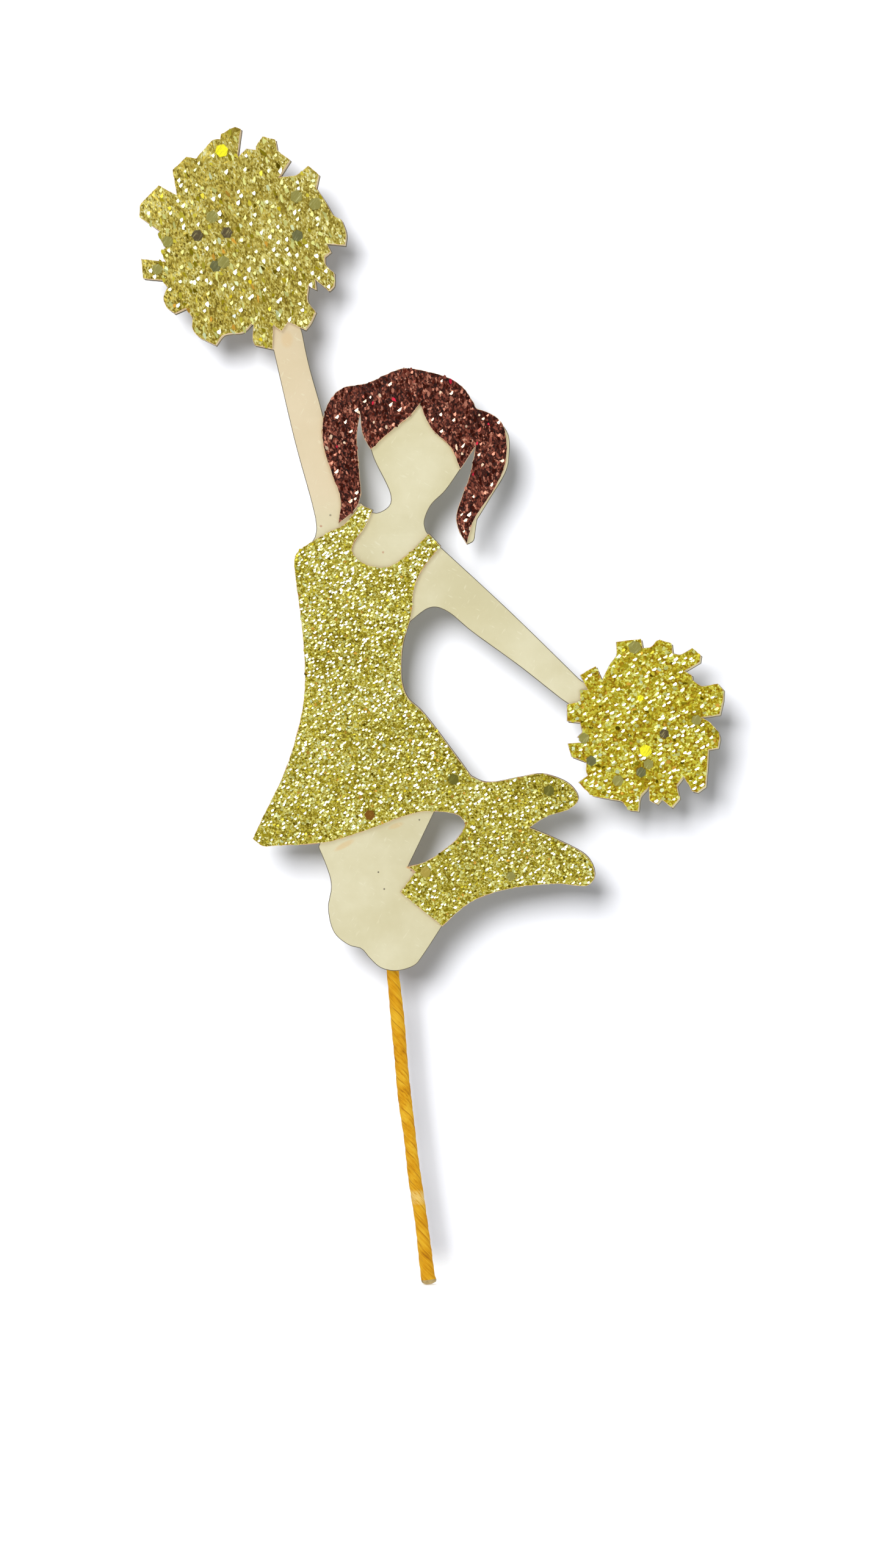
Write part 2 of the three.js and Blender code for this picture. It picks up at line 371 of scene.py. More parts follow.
BOARD_MARKS = (
    Mark(0.350, 0.149, 2.2 * MM, 0.7 * MM, GLUE_TAN, 0.38, 0.50),
    Mark(0.438, 0.172, 1.6 * MM, 0.6 * MM, GLUE_TAN, 0.30, 0.30),
    Mark(0.252, 0.748, 1.3 * MM, 1.8 * MM, GLUE_TAN, 0.25),
    Mark(0.268, 0.560, 2.6 * MM, 1.4 * MM, GLUE_PINK, 0.22, 0.40),
    Mark(0.467, 0.124, 0.8 * MM, 1.5 * MM, GLUE_PINK, 0.55, -0.5),
    Mark(0.466, 0.1235, 1.3 * MM, 0.45 * MM, AMBER_GLUE, 0.85, 0.10),
    Mark(0.845, 0.330, 1.4 * MM, 1.2 * MM, GLUE_TAN, 0.25, -0.6),
    Mark(0.408, 0.117, 0.20 * MM, 0.20 * MM, SOOT, 0.85),
    Mark(0.418, 0.097, 0.20 * MM, 0.20 * MM, SOOT, 0.85),
    Mark(0.478, 0.179, 0.20 * MM, 0.20 * MM, SOOT, 0.75),
    Mark(0.464, 0.119, 0.20 * MM, 0.20 * MM, SOOT, 0.55),
    Mark(0.326, 0.540, 0.25 * MM, 0.25 * MM, SOOT, 0.60),
    Mark(0.310, 0.527, 0.30 * MM, 0.25 * MM, RUST, 0.60),
    Mark(0.416, 0.496, 0.25 * MM, 0.25 * MM, RUST, 0.50),
)


@dataclass(frozen=True)
class IvoryBoard:
    """Uncoated ivory board: soft mottling, short fibres, a fine tooth and a few marks.

    Attributes:
        name: The material's name.
        pale: The board's paler tone.
        deep: Its deeper tone.
        blush: The warm tone of the raised arm.
        blush_up: Shares of the board's height between which the warm tone sets in.
        blush_across: Shares of its width between which it sets in, from the right.
        blush_strength: How strong the warm tone is.
        fibre: The colour of its fibres.
        roughness: Its mean roughness.
    """

    name: str = "ivory_board_face"
    pale: Colour = srgb(223, 217, 184)
    deep: Colour = srgb(208, 200, 160)
    blush: Colour = srgb(222, 198, 166)
    blush_up: tuple[float, float] = (0.50, 0.58)
    blush_across: tuple[float, float] = (0.37, 0.33)
    blush_strength: float = 0.6
    fibre: Colour = srgb(236, 232, 206)
    roughness: float = 0.72

    def material(self, node: str) -> bpy.types.Material:
        """Builds the finish of the board's two faces.

        Args:
            node: The board's CAD node, whose box places the marks.

        Returns:
            The material.
        """
        graph = Graph(self.name)
        place = graph.place()
        x, _, z = graph.axes(place)
        low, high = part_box(node)
        cloud = graph.noise(place, 14 * MM, 4.0)
        grain = graph.noise(place, 0.55 * MM, 2.0, 0.7)
        colour = graph.mix(cloud.ramped(0.32, 0.70), self.pale, self.deep)
        wide, tall = high.x - low.x, high.z - low.z
        rise = z.ramped(*(low.z + share * tall for share in self.blush_up))
        arm = x.ramped(*(low.x + share * wide for share in self.blush_across))
        colour = graph.mix(rise * arm * self.blush_strength, colour, self.blush)
        hairs = self._hairs(graph, place)
        colour = graph.mix(hairs * 0.40, colour, self.fibre)
        colour = graph.mix((grain - 0.5) * 0.22 + 0.10, colour, self.deep)
        for mark in BOARD_MARKS:
            colour = self._marked(graph, colour, mark, x, z, low, high)
        tooth = grain * 0.6 + hairs * 0.4
        return graph.finish(
            {
                "Base Color": colour,
                "Roughness": cloud * 0.12 + (self.roughness - 0.06),
                "Specular IOR Level": 0.35,
                "Normal": graph.bump(tooth, 0.02 * MM, 0.5),
            }
        )

    @staticmethod
    def _hairs(graph: Graph, place: Shade) -> Shade:
        """Short paper fibres, lying two ways.

        Args:
            graph: The material's graph.
            place: Where each point is.

        Returns:
            A mask that is 1 on a fibre.
        """
        settings = {"vector_type": "TEXTURE"}
        lines = None
        for angle in (0.5, -1.1):
            values = {"Vector": place, "Rotation": (0.0, angle, 0.0), "Scale": (5.0, 1.0, 1.0)}
            turned = graph.node("ShaderNodeMapping", settings, values)
            strand = graph.noise(turned, 0.35 * MM, 1.0).ramped(0.66, 0.80)
            lines = strand if lines is None else graph.maths("MAXIMUM", lines, strand)
        return lines

    @staticmethod
    def _marked(
        graph: Graph, colour: Shade, mark: Mark, x: Shade, z: Shade, low: Vector, high: Vector
    ) -> Shade:
        """Lays one stain or speck over the board's colour.

        Args:
            graph: The material's graph.
            colour: The colour so far.
            mark: The mark to lay.
            x: Each point's x.
            z: Each point's z.
            low: The board's lowest corner.
            high: The board's highest corner.

        Returns:
            The colour with the mark.
        """
        across = (x - (low.x + mark.across * (high.x - low.x))) * (1.0 / mark.width)
        up = (z - (low.z + mark.up * (high.z - low.z))) * (1.0 / mark.height)
        up = up - across * (mark.slope * mark.width / mark.height)
        inside = (across * across + up * up).ramped(1.0, 0.15)
        return graph.mix(inside * mark.strength, colour, mark.colour)


@dataclass(frozen=True)
class CutEdge:
    """The sawn-looking edge of a cut sheet: two tones with fine vertical tooth marks."""

    name: str
    light: Colour
    dark: Colour
    roughness: float = 0.8

    def material(self) -> bpy.types.Material:
        """Builds the edge's finish."""
        graph = Graph(self.name)
        place = graph.place()
        tooth = graph.noise(place, 0.22 * MM, 3.0, 0.7)
        blotch = graph.noise(place, 3.5 * MM, 3.0)
        tone = tooth * 0.5 + blotch * 0.5
        return graph.finish(
            {
                "Base Color": graph.mix(tone.ramped(0.30, 0.70), self.dark, self.light),
                "Roughness": self.roughness,
                "Normal": graph.bump(tooth, 0.03 * MM, 0.6),
            }
        )


class GlitterShade(Enum):
    """The glitter cards, each with its ground's colours from darkest to brightest."""

    GOLD = (
        (0.00, srgb(84, 70, 2)),
        (0.26, srgb(122, 105, 8)),
        (0.50, srgb(168, 152, 40)),
        (0.70, srgb(206, 196, 92)),
        (0.86, srgb(230, 230, 152)),
        (1.00, srgb(248, 252, 214)),
    )
    PALE_GOLD = (
        (0.00, srgb(92, 74, 14)),
        (0.26, srgb(132, 114, 30)),
        (0.50, srgb(178, 160, 66)),
        (0.70, srgb(208, 196, 104)),
        (0.86, srgb(230, 226, 158)),
        (1.00, srgb(248, 250, 222)),
    )
    DEEP_GOLD = (
        (0.00, srgb(108, 78, 0)),
        (0.26, srgb(150, 116, 0)),
        (0.50, srgb(178, 156, 20)),
        (0.70, srgb(200, 194, 60)),
        (0.86, srgb(230, 234, 124)),
        (1.00, srgb(246, 252, 196)),
    )
    BROWN = (
        (0.00, srgb(18, 6, 4)),
        (0.32, srgb(46, 18, 13)),
        (0.56, srgb(86, 40, 30)),
        (0.76, srgb(146, 78, 60)),
        (0.90, srgb(202, 138, 112)),
        (1.00, srgb(248, 216, 190)),
    )


@dataclass(frozen=True)
class GlitterGround:
    """The fine glitter bed of a card: thousands of tiny facets, each its own tone and tilt.

    Attributes:
        name: The material's name.
        shade: Which glitter card it is.
        grain: The width of one facet.
        stretch: How much longer than wide a facet is.
        lean: How far its length leans from upright, in radians.
        tilt: How far the facets tip out of the sheet.
        darken: What is taken off the tone, so that the ramp's middle is the card's own.
    """

    name: str
    shade: GlitterShade
    grain: float = 0.20 * MM
    stretch: float = 1.0
    lean: float = 0.0
    tilt: float = 0.55
    darken: float = 0.11

    def material(self) -> bpy.types.Material:
        """Builds the bed's finish."""
        graph = Graph(self.name)
        place = graph.place()
        values = {
            "Vector": place,
            "Rotation": (0.0, self.lean, 0.0),
            "Scale": (1.0, 1.0, self.stretch),
        }
        turned = graph.node("ShaderNodeMapping", {"vector_type": "TEXTURE"}, values)
        fine = graph.cells(turned, self.grain)
        large = graph.cells(turned, self.grain * 2.3)
        red, green, _ = graph.axes(fine)
        broad, _, _ = graph.axes(large)
        drift = graph.noise(place, 7 * MM, 3.0)
        tone = red * 0.62 + broad * 0.30 + drift * 0.30 - self.darken
        facing = graph.vectors("SUBTRACT", fine, (0.5, 0.5, 0.5))
        rough = graph.scaled(facing, self.tilt)
        flat = graph.node("ShaderNodeNewGeometry", output="Normal")
        tipped = graph.vectors("ADD", flat, rough)
        normal = graph.node("ShaderNodeVectorMath", {"operation": "NORMALIZE"}, {0: tipped})
        return graph.finish(
            {
                "Base Color": graph.ramp(tone, self.shade.value),
                "Metallic": 0.55,
                "Roughness": green * 0.20 + 0.28,
                "Specular IOR Level": 0.2,
                "Normal": normal,
            }
        )


class Foil(Enum):
    """The tints of loose glitter: a plain mirror each, as name, colour and roughness."""

    FROST = ("frost", srgb(240, 252, 240), 0.28)
    CREAM = ("cream", srgb(224, 234, 186), 0.38)
    PALE_GOLD = ("pale_gold", srgb(213, 214, 132), 0.38)
    GOLD = ("gold", srgb(192, 180, 58), 0.38)
    OLIVE = ("olive", srgb(150, 136, 24), 0.38)
    UMBER = ("umber", srgb(94, 80, 6), 0.40)
    AMBER = ("amber", srgb(200, 152, 56), 0.36)
    ROSE_CREAM = ("rose_cream", srgb(240, 208, 178), 0.36)
    COPPER = ("copper", srgb(192, 126, 104), 0.38)
    ROSE = ("rose", srgb(128, 70, 57), 0.36)
    MAROON = ("maroon", srgb(60, 22, 15), 0.40)
    CHERRY = ("cherry", srgb(214, 44, 70), 0.36)

    def material(self) -> bpy.types.Material:
        """Builds the foil, or returns the one that is already there."""
        name, colour, roughness = self.value
        found = bpy.data.materials.get(f"foil_{name}")
        if found:
            return found
        graph = Graph(f"foil_{name}")
        return graph.finish({"Base Color": colour, "Metallic": 1.0, "Roughness": roughness})


@dataclass(frozen=True)
class TwistedPaper:
    """Dyed paper twisted into a hard cord: streaks that wind round it, and painted shade in the creases
    between its strands.

    Attributes:
        name: The material's name.
        bright: The paper's brightest tone.
        body: Its middle tone.
        shade: The tone of its darkest streaks, and of the painted shade in its creases.
        worn: The tone where its dye has rubbed off.
        pitch: The height of one turn of the twist.
        strands: How many strands wind round it.
        worn_height: Where the rubbed spot is, as a share of the stick's height.
        worn_reach: How far the rubbed spot reaches up and down.
    """

    name: str = "twisted_paper_wrap"
    bright: Colour = srgb(232, 182, 44)
    body: Colour = srgb(214, 150, 10)
    shade: Colour = srgb(160, 98, 4)
    worn: Colour = srgb(236, 206, 124)
    pitch: float = 8.0 * MM
    strands: int = 3
    worn_height: float = 0.155
    worn_reach: float = 1.5 * MM

    def material(self, node: str) -> bpy.types.Material:
        """Builds the paper's finish.

        Args:
            node: The stick's CAD node, whose box gives its lean and its length.

        Returns:
            The material.
        """
        low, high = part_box(node)
        radius = (high.y - low.y) / 2
        lean = (low.x - high.x + 2 * radius) / (high.z - low.z)
        graph = Graph(self.name)
        place = graph.place()
        x, y, z = graph.axes(place)
        centred = graph.node("ShaderNodeCombineXYZ", None, {"X": x - z * lean, "Y": y})
        turning = z * (2 * math.pi / self.pitch)
        settings = {"rotation_type": "Z_AXIS"}
        wound = graph.node("ShaderNodeVectorRotate", settings, {0: centred, "Angle": turning})
        wound_x, wound_y, _ = graph.axes(wound)
        along = graph.node("ShaderNodeCombineXYZ", None, {"X": wound_x, "Y": wound_y, "Z": z * 0.10})
        strand = graph.noise(along, 0.55 * MM, 3.0, 0.6)
        fine = graph.noise(along, 0.16 * MM, 1.0)
        cloud = graph.noise(place, 4.0 * MM, 2.0)
        tone = strand * 0.45 + cloud * 0.38 + fine * 0.17
        colour = graph.ramp(tone, ((0.34, self.shade), (0.46, self.body), (0.60, self.bright)))
        # Painted shade: the valleys between the strands are darkened where the stick's ridges dip.
        crease_shade = self._crease_shade(graph, wound_x, wound_y, z) * cloud.ramped(0.38, 0.60)
        colour = graph.mix(crease_shade * 0.75, colour, self.shade)
        height = (z - (low.z + self.worn_height * (high.z - low.z))) * (1.0 / self.worn_reach)
        worn = (height * height).ramped(1.0, 0.0) * fine.ramped(0.25, 0.60)
        return graph.finish(
            {
                "Base Color": graph.mix(worn * 0.8, colour, self.worn),
                "Roughness": strand * 0.2 + 0.6,
                "Specular IOR Level": 0.15,
                "Normal": graph.bump(strand * 0.6 + fine * 0.4, 0.12 * MM, 0.8),
            }
        )

    def _crease_shade(self, graph: Graph, across: Shade, ahead: Shade, z: Shade) -> Shade:
        """Painted shade in the valleys between the wound strands.

        Args:
            graph: The material's graph.
            across: How far each point is to the side, turned with the twist.
            ahead: How far it is to the front, turned with the twist.
            z: How high it is.

        Returns:
            A mask that is 1 in a valley.
        """
        angle = graph.maths("ARCTAN2", ahead, across)
        sway = graph.maths("SINE", z * (1.0 / (11.0 * MM))) * 0.5
        half = self.strands / 2
        wave = graph.maths("SINE", half * math.pi - angle * half + sway)
        return graph.maths("ABSOLUTE", wave).ramped(0.30, 0.0)


@dataclass(frozen=True)
class HotGlue:
    """Set hot-melt glue: milky, glossy and slightly rippled, with a few trapped bubbles."""

    name: str = "hot_glue_set"
    milky: Colour = srgb(238, 232, 214)
    honey: Colour = srgb(224, 208, 168)

    def material(self) -> bpy.types.Material:
        """Builds the glue's finish."""
        graph = Graph(self.name)
        place = graph.place()
        ripple = graph.noise(place, 2.2 * MM, 2.0)
        bubble = graph.cells(place, 1.3 * MM, "Distance").ramped(0.22, 0.10)
        colour = graph.mix(ripple.ramped(0.35, 0.70), self.milky, self.honey)
        return graph.finish(
            {
                "Base Color": graph.mix(bubble * 0.35, colour, self.milky),
                "Roughness": ripple * 0.15 + 0.16,
                "Subsurface Weight": 0.35,
                "Subsurface Radius": (1.0, 0.9, 0.7),
                "Subsurface Scale": 1.5 * MM,
                "Coat Weight": 0.4,
                "Coat Roughness": 0.12,
                "Normal": graph.bump(ripple * 0.8 + bubble * 0.2, 0.15 * MM, 0.5),
            }
        )


@dataclass(frozen=True)
class CraftAdhesive:
    """Dried craft adhesive, an uneven amber film that only shows at a sheet's edge."""

    name: str = "craft_adhesive_film"
    thin: Colour = srgb(226, 186, 130)
    thick: Colour = srgb(176, 118, 60)

    def material(self) -> bpy.types.Material:
        """Builds the film's finish."""
        graph = Graph(self.name)
        place = graph.place()
        pool = graph.noise(place, 2.5 * MM, 3.0)
        return graph.finish(
            {
                "Base Color": graph.mix(pool.ramped(0.35, 0.65), self.thin, self.thick),
                "Roughness": pool * 0.3 + 0.25,
                "Normal": graph.bump(pool, 0.05 * MM, 0.5),
            }
        )


@dataclass(frozen=True)
class BigFlakeFoil:
    """A large stray flake: brushed, scuffed foil with fine bright streaks.

    Attributes:
        name: The material's name.
        base: Its colour.
        streak: The colour of its streaks.
        lean: The streaks' lean from upright, in radians.
        metallic: How mirror-like it is.
    """

    name: str
    base: Colour
    streak: Colour
    lean: float = 0.6
    metallic: float = 0.5

    def material(self) -> bpy.types.Material:
        """Builds the flake's finish."""
        graph = Graph(self.name)
        place = graph.place()
        values = {"Vector": place, "Rotation": (0.0, self.lean, 0.0), "Scale": (1.0, 1.0, 9.0)}
        turned = graph.node("ShaderNodeMapping", {"vector_type": "TEXTURE"}, values)
        brushed = graph.noise(turned, 0.22 * MM, 2.0)
        speck = graph.noise(place, 0.25 * MM, 2.0)
        colour = graph.mix(brushed.ramped(0.50, 0.78), self.base, self.streak)
        return graph.finish(
            {
                "Base Color": graph.mix(speck.ramped(0.60, 0.72) * 0.35, colour, self.streak),
                "Metallic": self.metallic,
                "Roughness": brushed * 0.25 + 0.30,
                "Normal": graph.bump(brushed, 0.02 * MM, 0.5),
            }
        )


class BigFlake(Enum):
    """The finishes that the large stray flakes come in."""

    KHAKI = BigFlakeFoil("big_flake_khaki", srgb(150, 144, 72), srgb(192, 190, 124))
    SMOKE = BigFlakeFoil("big_flake_smoke", srgb(106, 106, 62), srgb(150, 150, 104))
    UMBER = BigFlakeFoil("big_flake_umber", srgb(78, 66, 34), srgb(170, 158, 104), 0.6, 0.15)
    RUSSET = BigFlakeFoil("big_flake_russet", srgb(126, 80, 0), srgb(180, 142, 40), 0.6, 0.6)
    MOSS = BigFlakeFoil("big_flake_moss", srgb(108, 104, 28), srgb(152, 150, 70))
    HONEY = BigFlakeFoil("big_flake_honey", srgb(178, 158, 66), srgb(214, 198, 112))
    LEMON = BigFlakeFoil("big_flake_lemon", srgb(246, 240, 0), srgb(176, 156, 0), 0.6, 0.0)


@dataclass(frozen=True)
class Outline:
    """A flat shape in the XZ plane, as closed loops with the solid on their left."""

    SPECK: ClassVar[float] = 0.4 * MM * MM
    loops: tuple[np.ndarray, ...]

    @classmethod
    def of_node(cls, node: str) -> Outline:
        """Reads the front face of a flat CAD node.

        Args:
            node: The node's name.

        Returns:
            The edge of its front face, holes included.
        """
        low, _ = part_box(node)
        welded = bmesh.new()
        welded.from_mesh(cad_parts[node].data)
        bmesh.ops.remove_doubles(welded, verts=welded.verts, dist=WELD)
        welded.verts.index_update()
        # A dict keeps the faces in order. A set would start the loops elsewhere on each run.
        front = dict.fromkeys(f for f in welded.faces if all(v.co.y < low.y + FLAT for v in f.verts))
        follow: dict[int, list[int]] = {}
        for face in front:
            for corner in face.loops:
                if not any(other in front and other is not face for other in corner.edge.link_faces):
                    follow.setdefault(corner.vert.index, []).append(corner.link_loop_next.vert.index)
        places = np.array([(v.co.x, v.co.z) for v in welded.verts])
        welded.free()
        loops = []
        while follow:
            walk = [next(iter(follow))]
            while walk:
                ends = follow[walk[-1]]
                step = ends.pop()
                if not ends:
                    del follow[walk[-1]]
                if step in walk:
                    loops.append(places[walk[walk.index(step):]])
                    del walk[walk.index(step) + 1:]
                    if step not in follow:
                        walk = []
                else:
                    walk.append(step)
        return cls(tuple(loop for loop in loops if abs(loop_area(loop)) > cls.SPECK))

    def smoothed(self, step: float, corner: float = math.radians(44.0)) -> Outline:
        """Rounds the facets between the corners.

        Args:
            step: The spacing of the new points.
            corner: The turn from which a point stays sharp, in radians.

        Returns:
            The smooth outline.
        """
        return Outline(tuple(smooth_loop(loop, step, corner) for loop in self.loops))

    def roughened(self, rng: np.random.Generator, amount: float) -> Outline:
        """Frays the edge.

        Args:
            rng: The random source.
            amount: How far a point may move, one way or the other.

        Returns:
            The frayed outline.
        """
        moved = []
        for loop in self.loops:
            push = rng.uniform(-1.0, 1.0, len(loop))
            push = (push + np.roll(push, 1)) * 0.5 * amount
            moved.append(loop + edge_normals(loop)[0] * push[:, None])
        return Outline(tuple(moved))

    def inset(self, distance: float) -> Outline:
        """The outline drawn in by a small distance."""
        moved = []
        for loop in self.loops:
            inward, reach = edge_normals(loop)
            moved.append(loop + inward * (reach * distance)[:, None])
        return Outline(tuple(moved))

    def contains(self, points: np.ndarray) -> np.ndarray:
        """Tells which points lie on the shape.

        Args:
            points: Rows of x and z.

        Returns:
            True for each point inside.
        """
        inside = np.zeros(len(points), bool)
        x, z = points[:, 0], points[:, 1]
        for loop in self.loops:
            for (ax, az), (bx, bz) in zip(loop, np.roll(loop, -1, axis=0)):
                if az != bz:
                    crosses = (az > z) != (bz > z)
                    inside ^= crosses & (x < (bx - ax) * (z - az) / (bz - az) + ax)
        return inside

    def corners(self) -> tuple[np.ndarray, np.ndarray]:
        """The lowest and the highest x and z of the shape."""
        points = np.vstack(self.loops)
        return points.min(axis=0), points.max(axis=0)


def loop_area(loop: np.ndarray) -> float:
    """The area inside a loop, below zero for one that runs clockwise."""
    x, z = loop.T
    return float(np.sum(x * np.roll(z, -1) - np.roll(x, -1) * z) / 2)


def edge_normals(loop: np.ndarray) -> tuple[np.ndarray, np.ndarray]:
    """Finds which way is into the shape at each point of a loop.

    Args:
        loop: The loop's points, with the solid on the left.

    Returns:
        The inward direction at each point, and how much further the point has
        to move there for its two edges to move by 1.
    """
    ahead = np.roll(loop, -1, axis=0) - loop
    ahead = ahead / np.maximum(np.linalg.norm(ahead, axis=1), 1e-12)[:, None]
    left = np.column_stack([-ahead[:, 1], ahead[:, 0]])
    both = left + np.roll(left, 1, axis=0)
    inward = both / np.maximum(np.linalg.norm(both, axis=1), 1e-9)[:, None]
    share = np.clip((inward * left).sum(axis=1), 0.5, 1.0)
    return inward, 1.0 / share


def smooth_loop(loop: np.ndarray, step: float, corner: float) -> np.ndarray:
    """Runs a smooth curve through the points of a closed loop.

    Args:
        loop: The loop's points.
        step: The spacing of the new points.
        corner: The turn from which a point stays sharp, in radians.

    Returns:
        The new loop's points.
    """
    kept = [loop[0]]
    for point in loop[1:]:
        if all(np.linalg.norm(point - other) > CLOSE for other in (kept[-1], kept[0])):
            kept.append(point)
    points = np.array(kept)
    ahead = np.roll(points, -1, axis=0) - points
    length = np.linalg.norm(ahead, axis=1)
    unit = ahead / length[:, None]
    before, before_length = np.roll(unit, 1, axis=0), np.roll(length, 1)
    sharp = np.arccos(np.clip((unit * before).sum(axis=1), -1.0, 1.0)) > corner
    tangent = before * length[:, None] + unit * before_length[:, None]
    tangent = tangent / np.linalg.norm(tangent, axis=1)[:, None]
    made = []
    for i in range(len(points)):
        j = (i + 1) % len(points)
        leave = unit[i] if sharp[i] else tangent[i]
        arrive = unit[i] if sharp[j] else tangent[j]
        first = leave * min(length[i], length[i] if sharp[i] else before_length[i]) / 3.0
        last = arrive * min(length[i], length[i] if sharp[j] else length[j]) / 3.0
        count = max(1, round(length[i] / step))
        for t in np.arange(count) / count:
            a, b = points[i], points[j]
            made.append(
                (1 - t) ** 3 * a
                + 3 * (1 - t) ** 2 * t * (a + first)
                + 3 * (1 - t) * t**2 * (b - last)
                + t**3 * b
            )
    return np.array(made)


def mesh_object(
    name: str,
    points: Sequence[Sequence[float]] | np.ndarray,
    faces: Sequence[Sequence[int]],
    materials: Sequence[bpy.types.Material],
    slots: Sequence[int] | None = None,
    smooth: Sequence[bool] | None = None,
) -> bpy.types.Object:
    """Makes a mesh piece that rides on the body.

    Args:
        name: The piece's name.
        points: Its points.
        faces: The point numbers of each face.
        materials: Its materials.
        slots: The material number of each face, or None for the first.
        smooth: Whether each face is shaded smooth, or None for flat ones.

    Returns:
        The new object.
    """
    mesh = bpy.data.meshes.new(name)
    mesh.from_pydata([tuple(map(float, p)) for p in points], [], faces)
    for material in materials:
        mesh.materials.append(material)
    if slots is not None:
        mesh.polygons.foreach_set("material_index", np.asarray(slots, np.int32))
    if smooth is not None:
        mesh.polygons.foreach_set("use_smooth", np.asarray(smooth, bool))
    mesh.update()
    made = bpy.data.objects.new(name, mesh)
    bpy.context.scene.collection.objects.link(made)
    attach(made, BODY)
    log.info("%s: %d points, %d faces", name, len(mesh.vertices), len(mesh.polygons))
    return made


@dataclass(frozen=True)
class Plate:
    """A flat sheet with thickness and softened edges.

    Attributes:
        outline: Its outline.
        front: The y of its front face.
        back: The y of its back face.
        ease: The size of its softened edges.
        rounds: How many steps round a softened edge.
    """

    outline: Outline
    front: float
    back: float
    ease: float
    rounds: int = 2

    def rings(self) -> list[tuple[float, float]]:
        """The inset and the y of each ring, from the front face's edge to the back's.

        Returns:
            The list of inset and y.
        """
        front = []
        for step in range(self.rounds + 1):
            angle = step / self.rounds * math.pi / 2
            inset = self.ease * (1 - math.sin(angle))
            front.append((inset, self.front + self.ease * (1 - math.cos(angle))))
        back = [(inset, self.front + self.back - y) for inset, y in reversed(front)]
        return front + back

    def build(
        self, name: str, face: bpy.types.Material, edge: bpy.types.Material, behind: bpy.types.Material
    ) -> bpy.types.Object:
        """Builds the sheet.

        Args:
            name: The piece's name.
            face: The finish of its front face.
            edge: The finish of its cut edges.
            behind: The finish of its back face.

        Returns:
            The piece.
        """
        points: list[tuple[float, float, float]] = []
        faces: list[tuple[int, ...]] = []
        rings = self.rings()
        per_ring = sum(len(loop) for loop in self.outline.loops)
        for inset, y in rings:
            for loop in self.outline.inset(inset).loops:
                points.extend((x, y, z) for x, z in loop)
        for ring in range(len(rings) - 1):
            start = ring * per_ring
            for loop in self.outline.loops:
                count = len(loop)
                for i in range(count):
                    a, b = start + i, start + (i + 1) % count
                    faces.append((a, a + per_ring, b + per_ring, b))
                start += count
        slots = [1] * len(faces)
        cap = self._cap()
        last = (len(rings) - 1) * per_ring
        faces.extend(cap)
        faces.extend((a + last, c + last, b + last) for a, b, c in cap)
        slots += [0] * len(cap) + [2] * len(cap)
        smooth = [slot == 1 for slot in slots]
        made = mesh_object(name, points, faces, (face, edge, behind), slots, smooth)
        made.data.set_sharp_from_angle(angle=math.radians(50.0))
        return made

    def _cap(self) -> list[tuple[int, int, int]]:
        """Fills the front face.

        Returns:
            Its triangles, as numbers of the first ring's points.
        """
        loops = self.outline.inset(self.ease).loops
        flat = np.vstack(loops)
        fill = tessellate_polygon([[Vector((x, z, 0.0)) for x, z in loop] for loop in loops])
        cap = []
        for a, b, c in fill:
            (ax, az), (bx, bz), (cx, cz) = flat[a], flat[b], flat[c]
            turn = (bx - ax) * (cz - az) - (bz - az) * (cx - ax)
            cap.append((a, b, c) if turn > 0 else (a, c, b))
        return cap


@dataclass(frozen=True)
class FlakeMix:
    """How loose glitter lies on a sheet.

    Attributes:
        radius: The smallest and the largest flake's radius.
        cover: The share of the sheet that the flakes cover, at its foot and at its top.
        tints: Each tint with its weight.
        glint: The share of flakes that tip towards the key light, at its foot and its top.
        glint_tints: The tints of those, paler than the rest: a painted highlight on the flakes that face
            the key light.
        tilt: The most that the others tip, in radians.
        stretch: How much longer than wide a flake is, least and most.
        lean: How its length leans from upright, in radians, or None for any way.
        proud: How far its middle stands off the sheet.
    """

    radius: tuple[float, float]
    cover: tuple[float, float]
    tints: tuple[tuple[Foil, float], ...]
    glint: tuple[float, float]
    glint_tints: tuple[tuple[Foil, float], ...]
    tilt: float = math.radians(24.0)
    stretch: tuple[float, float] = (1.0, 1.25)
    lean: float | None = None
    proud: float = 0.05 * MM


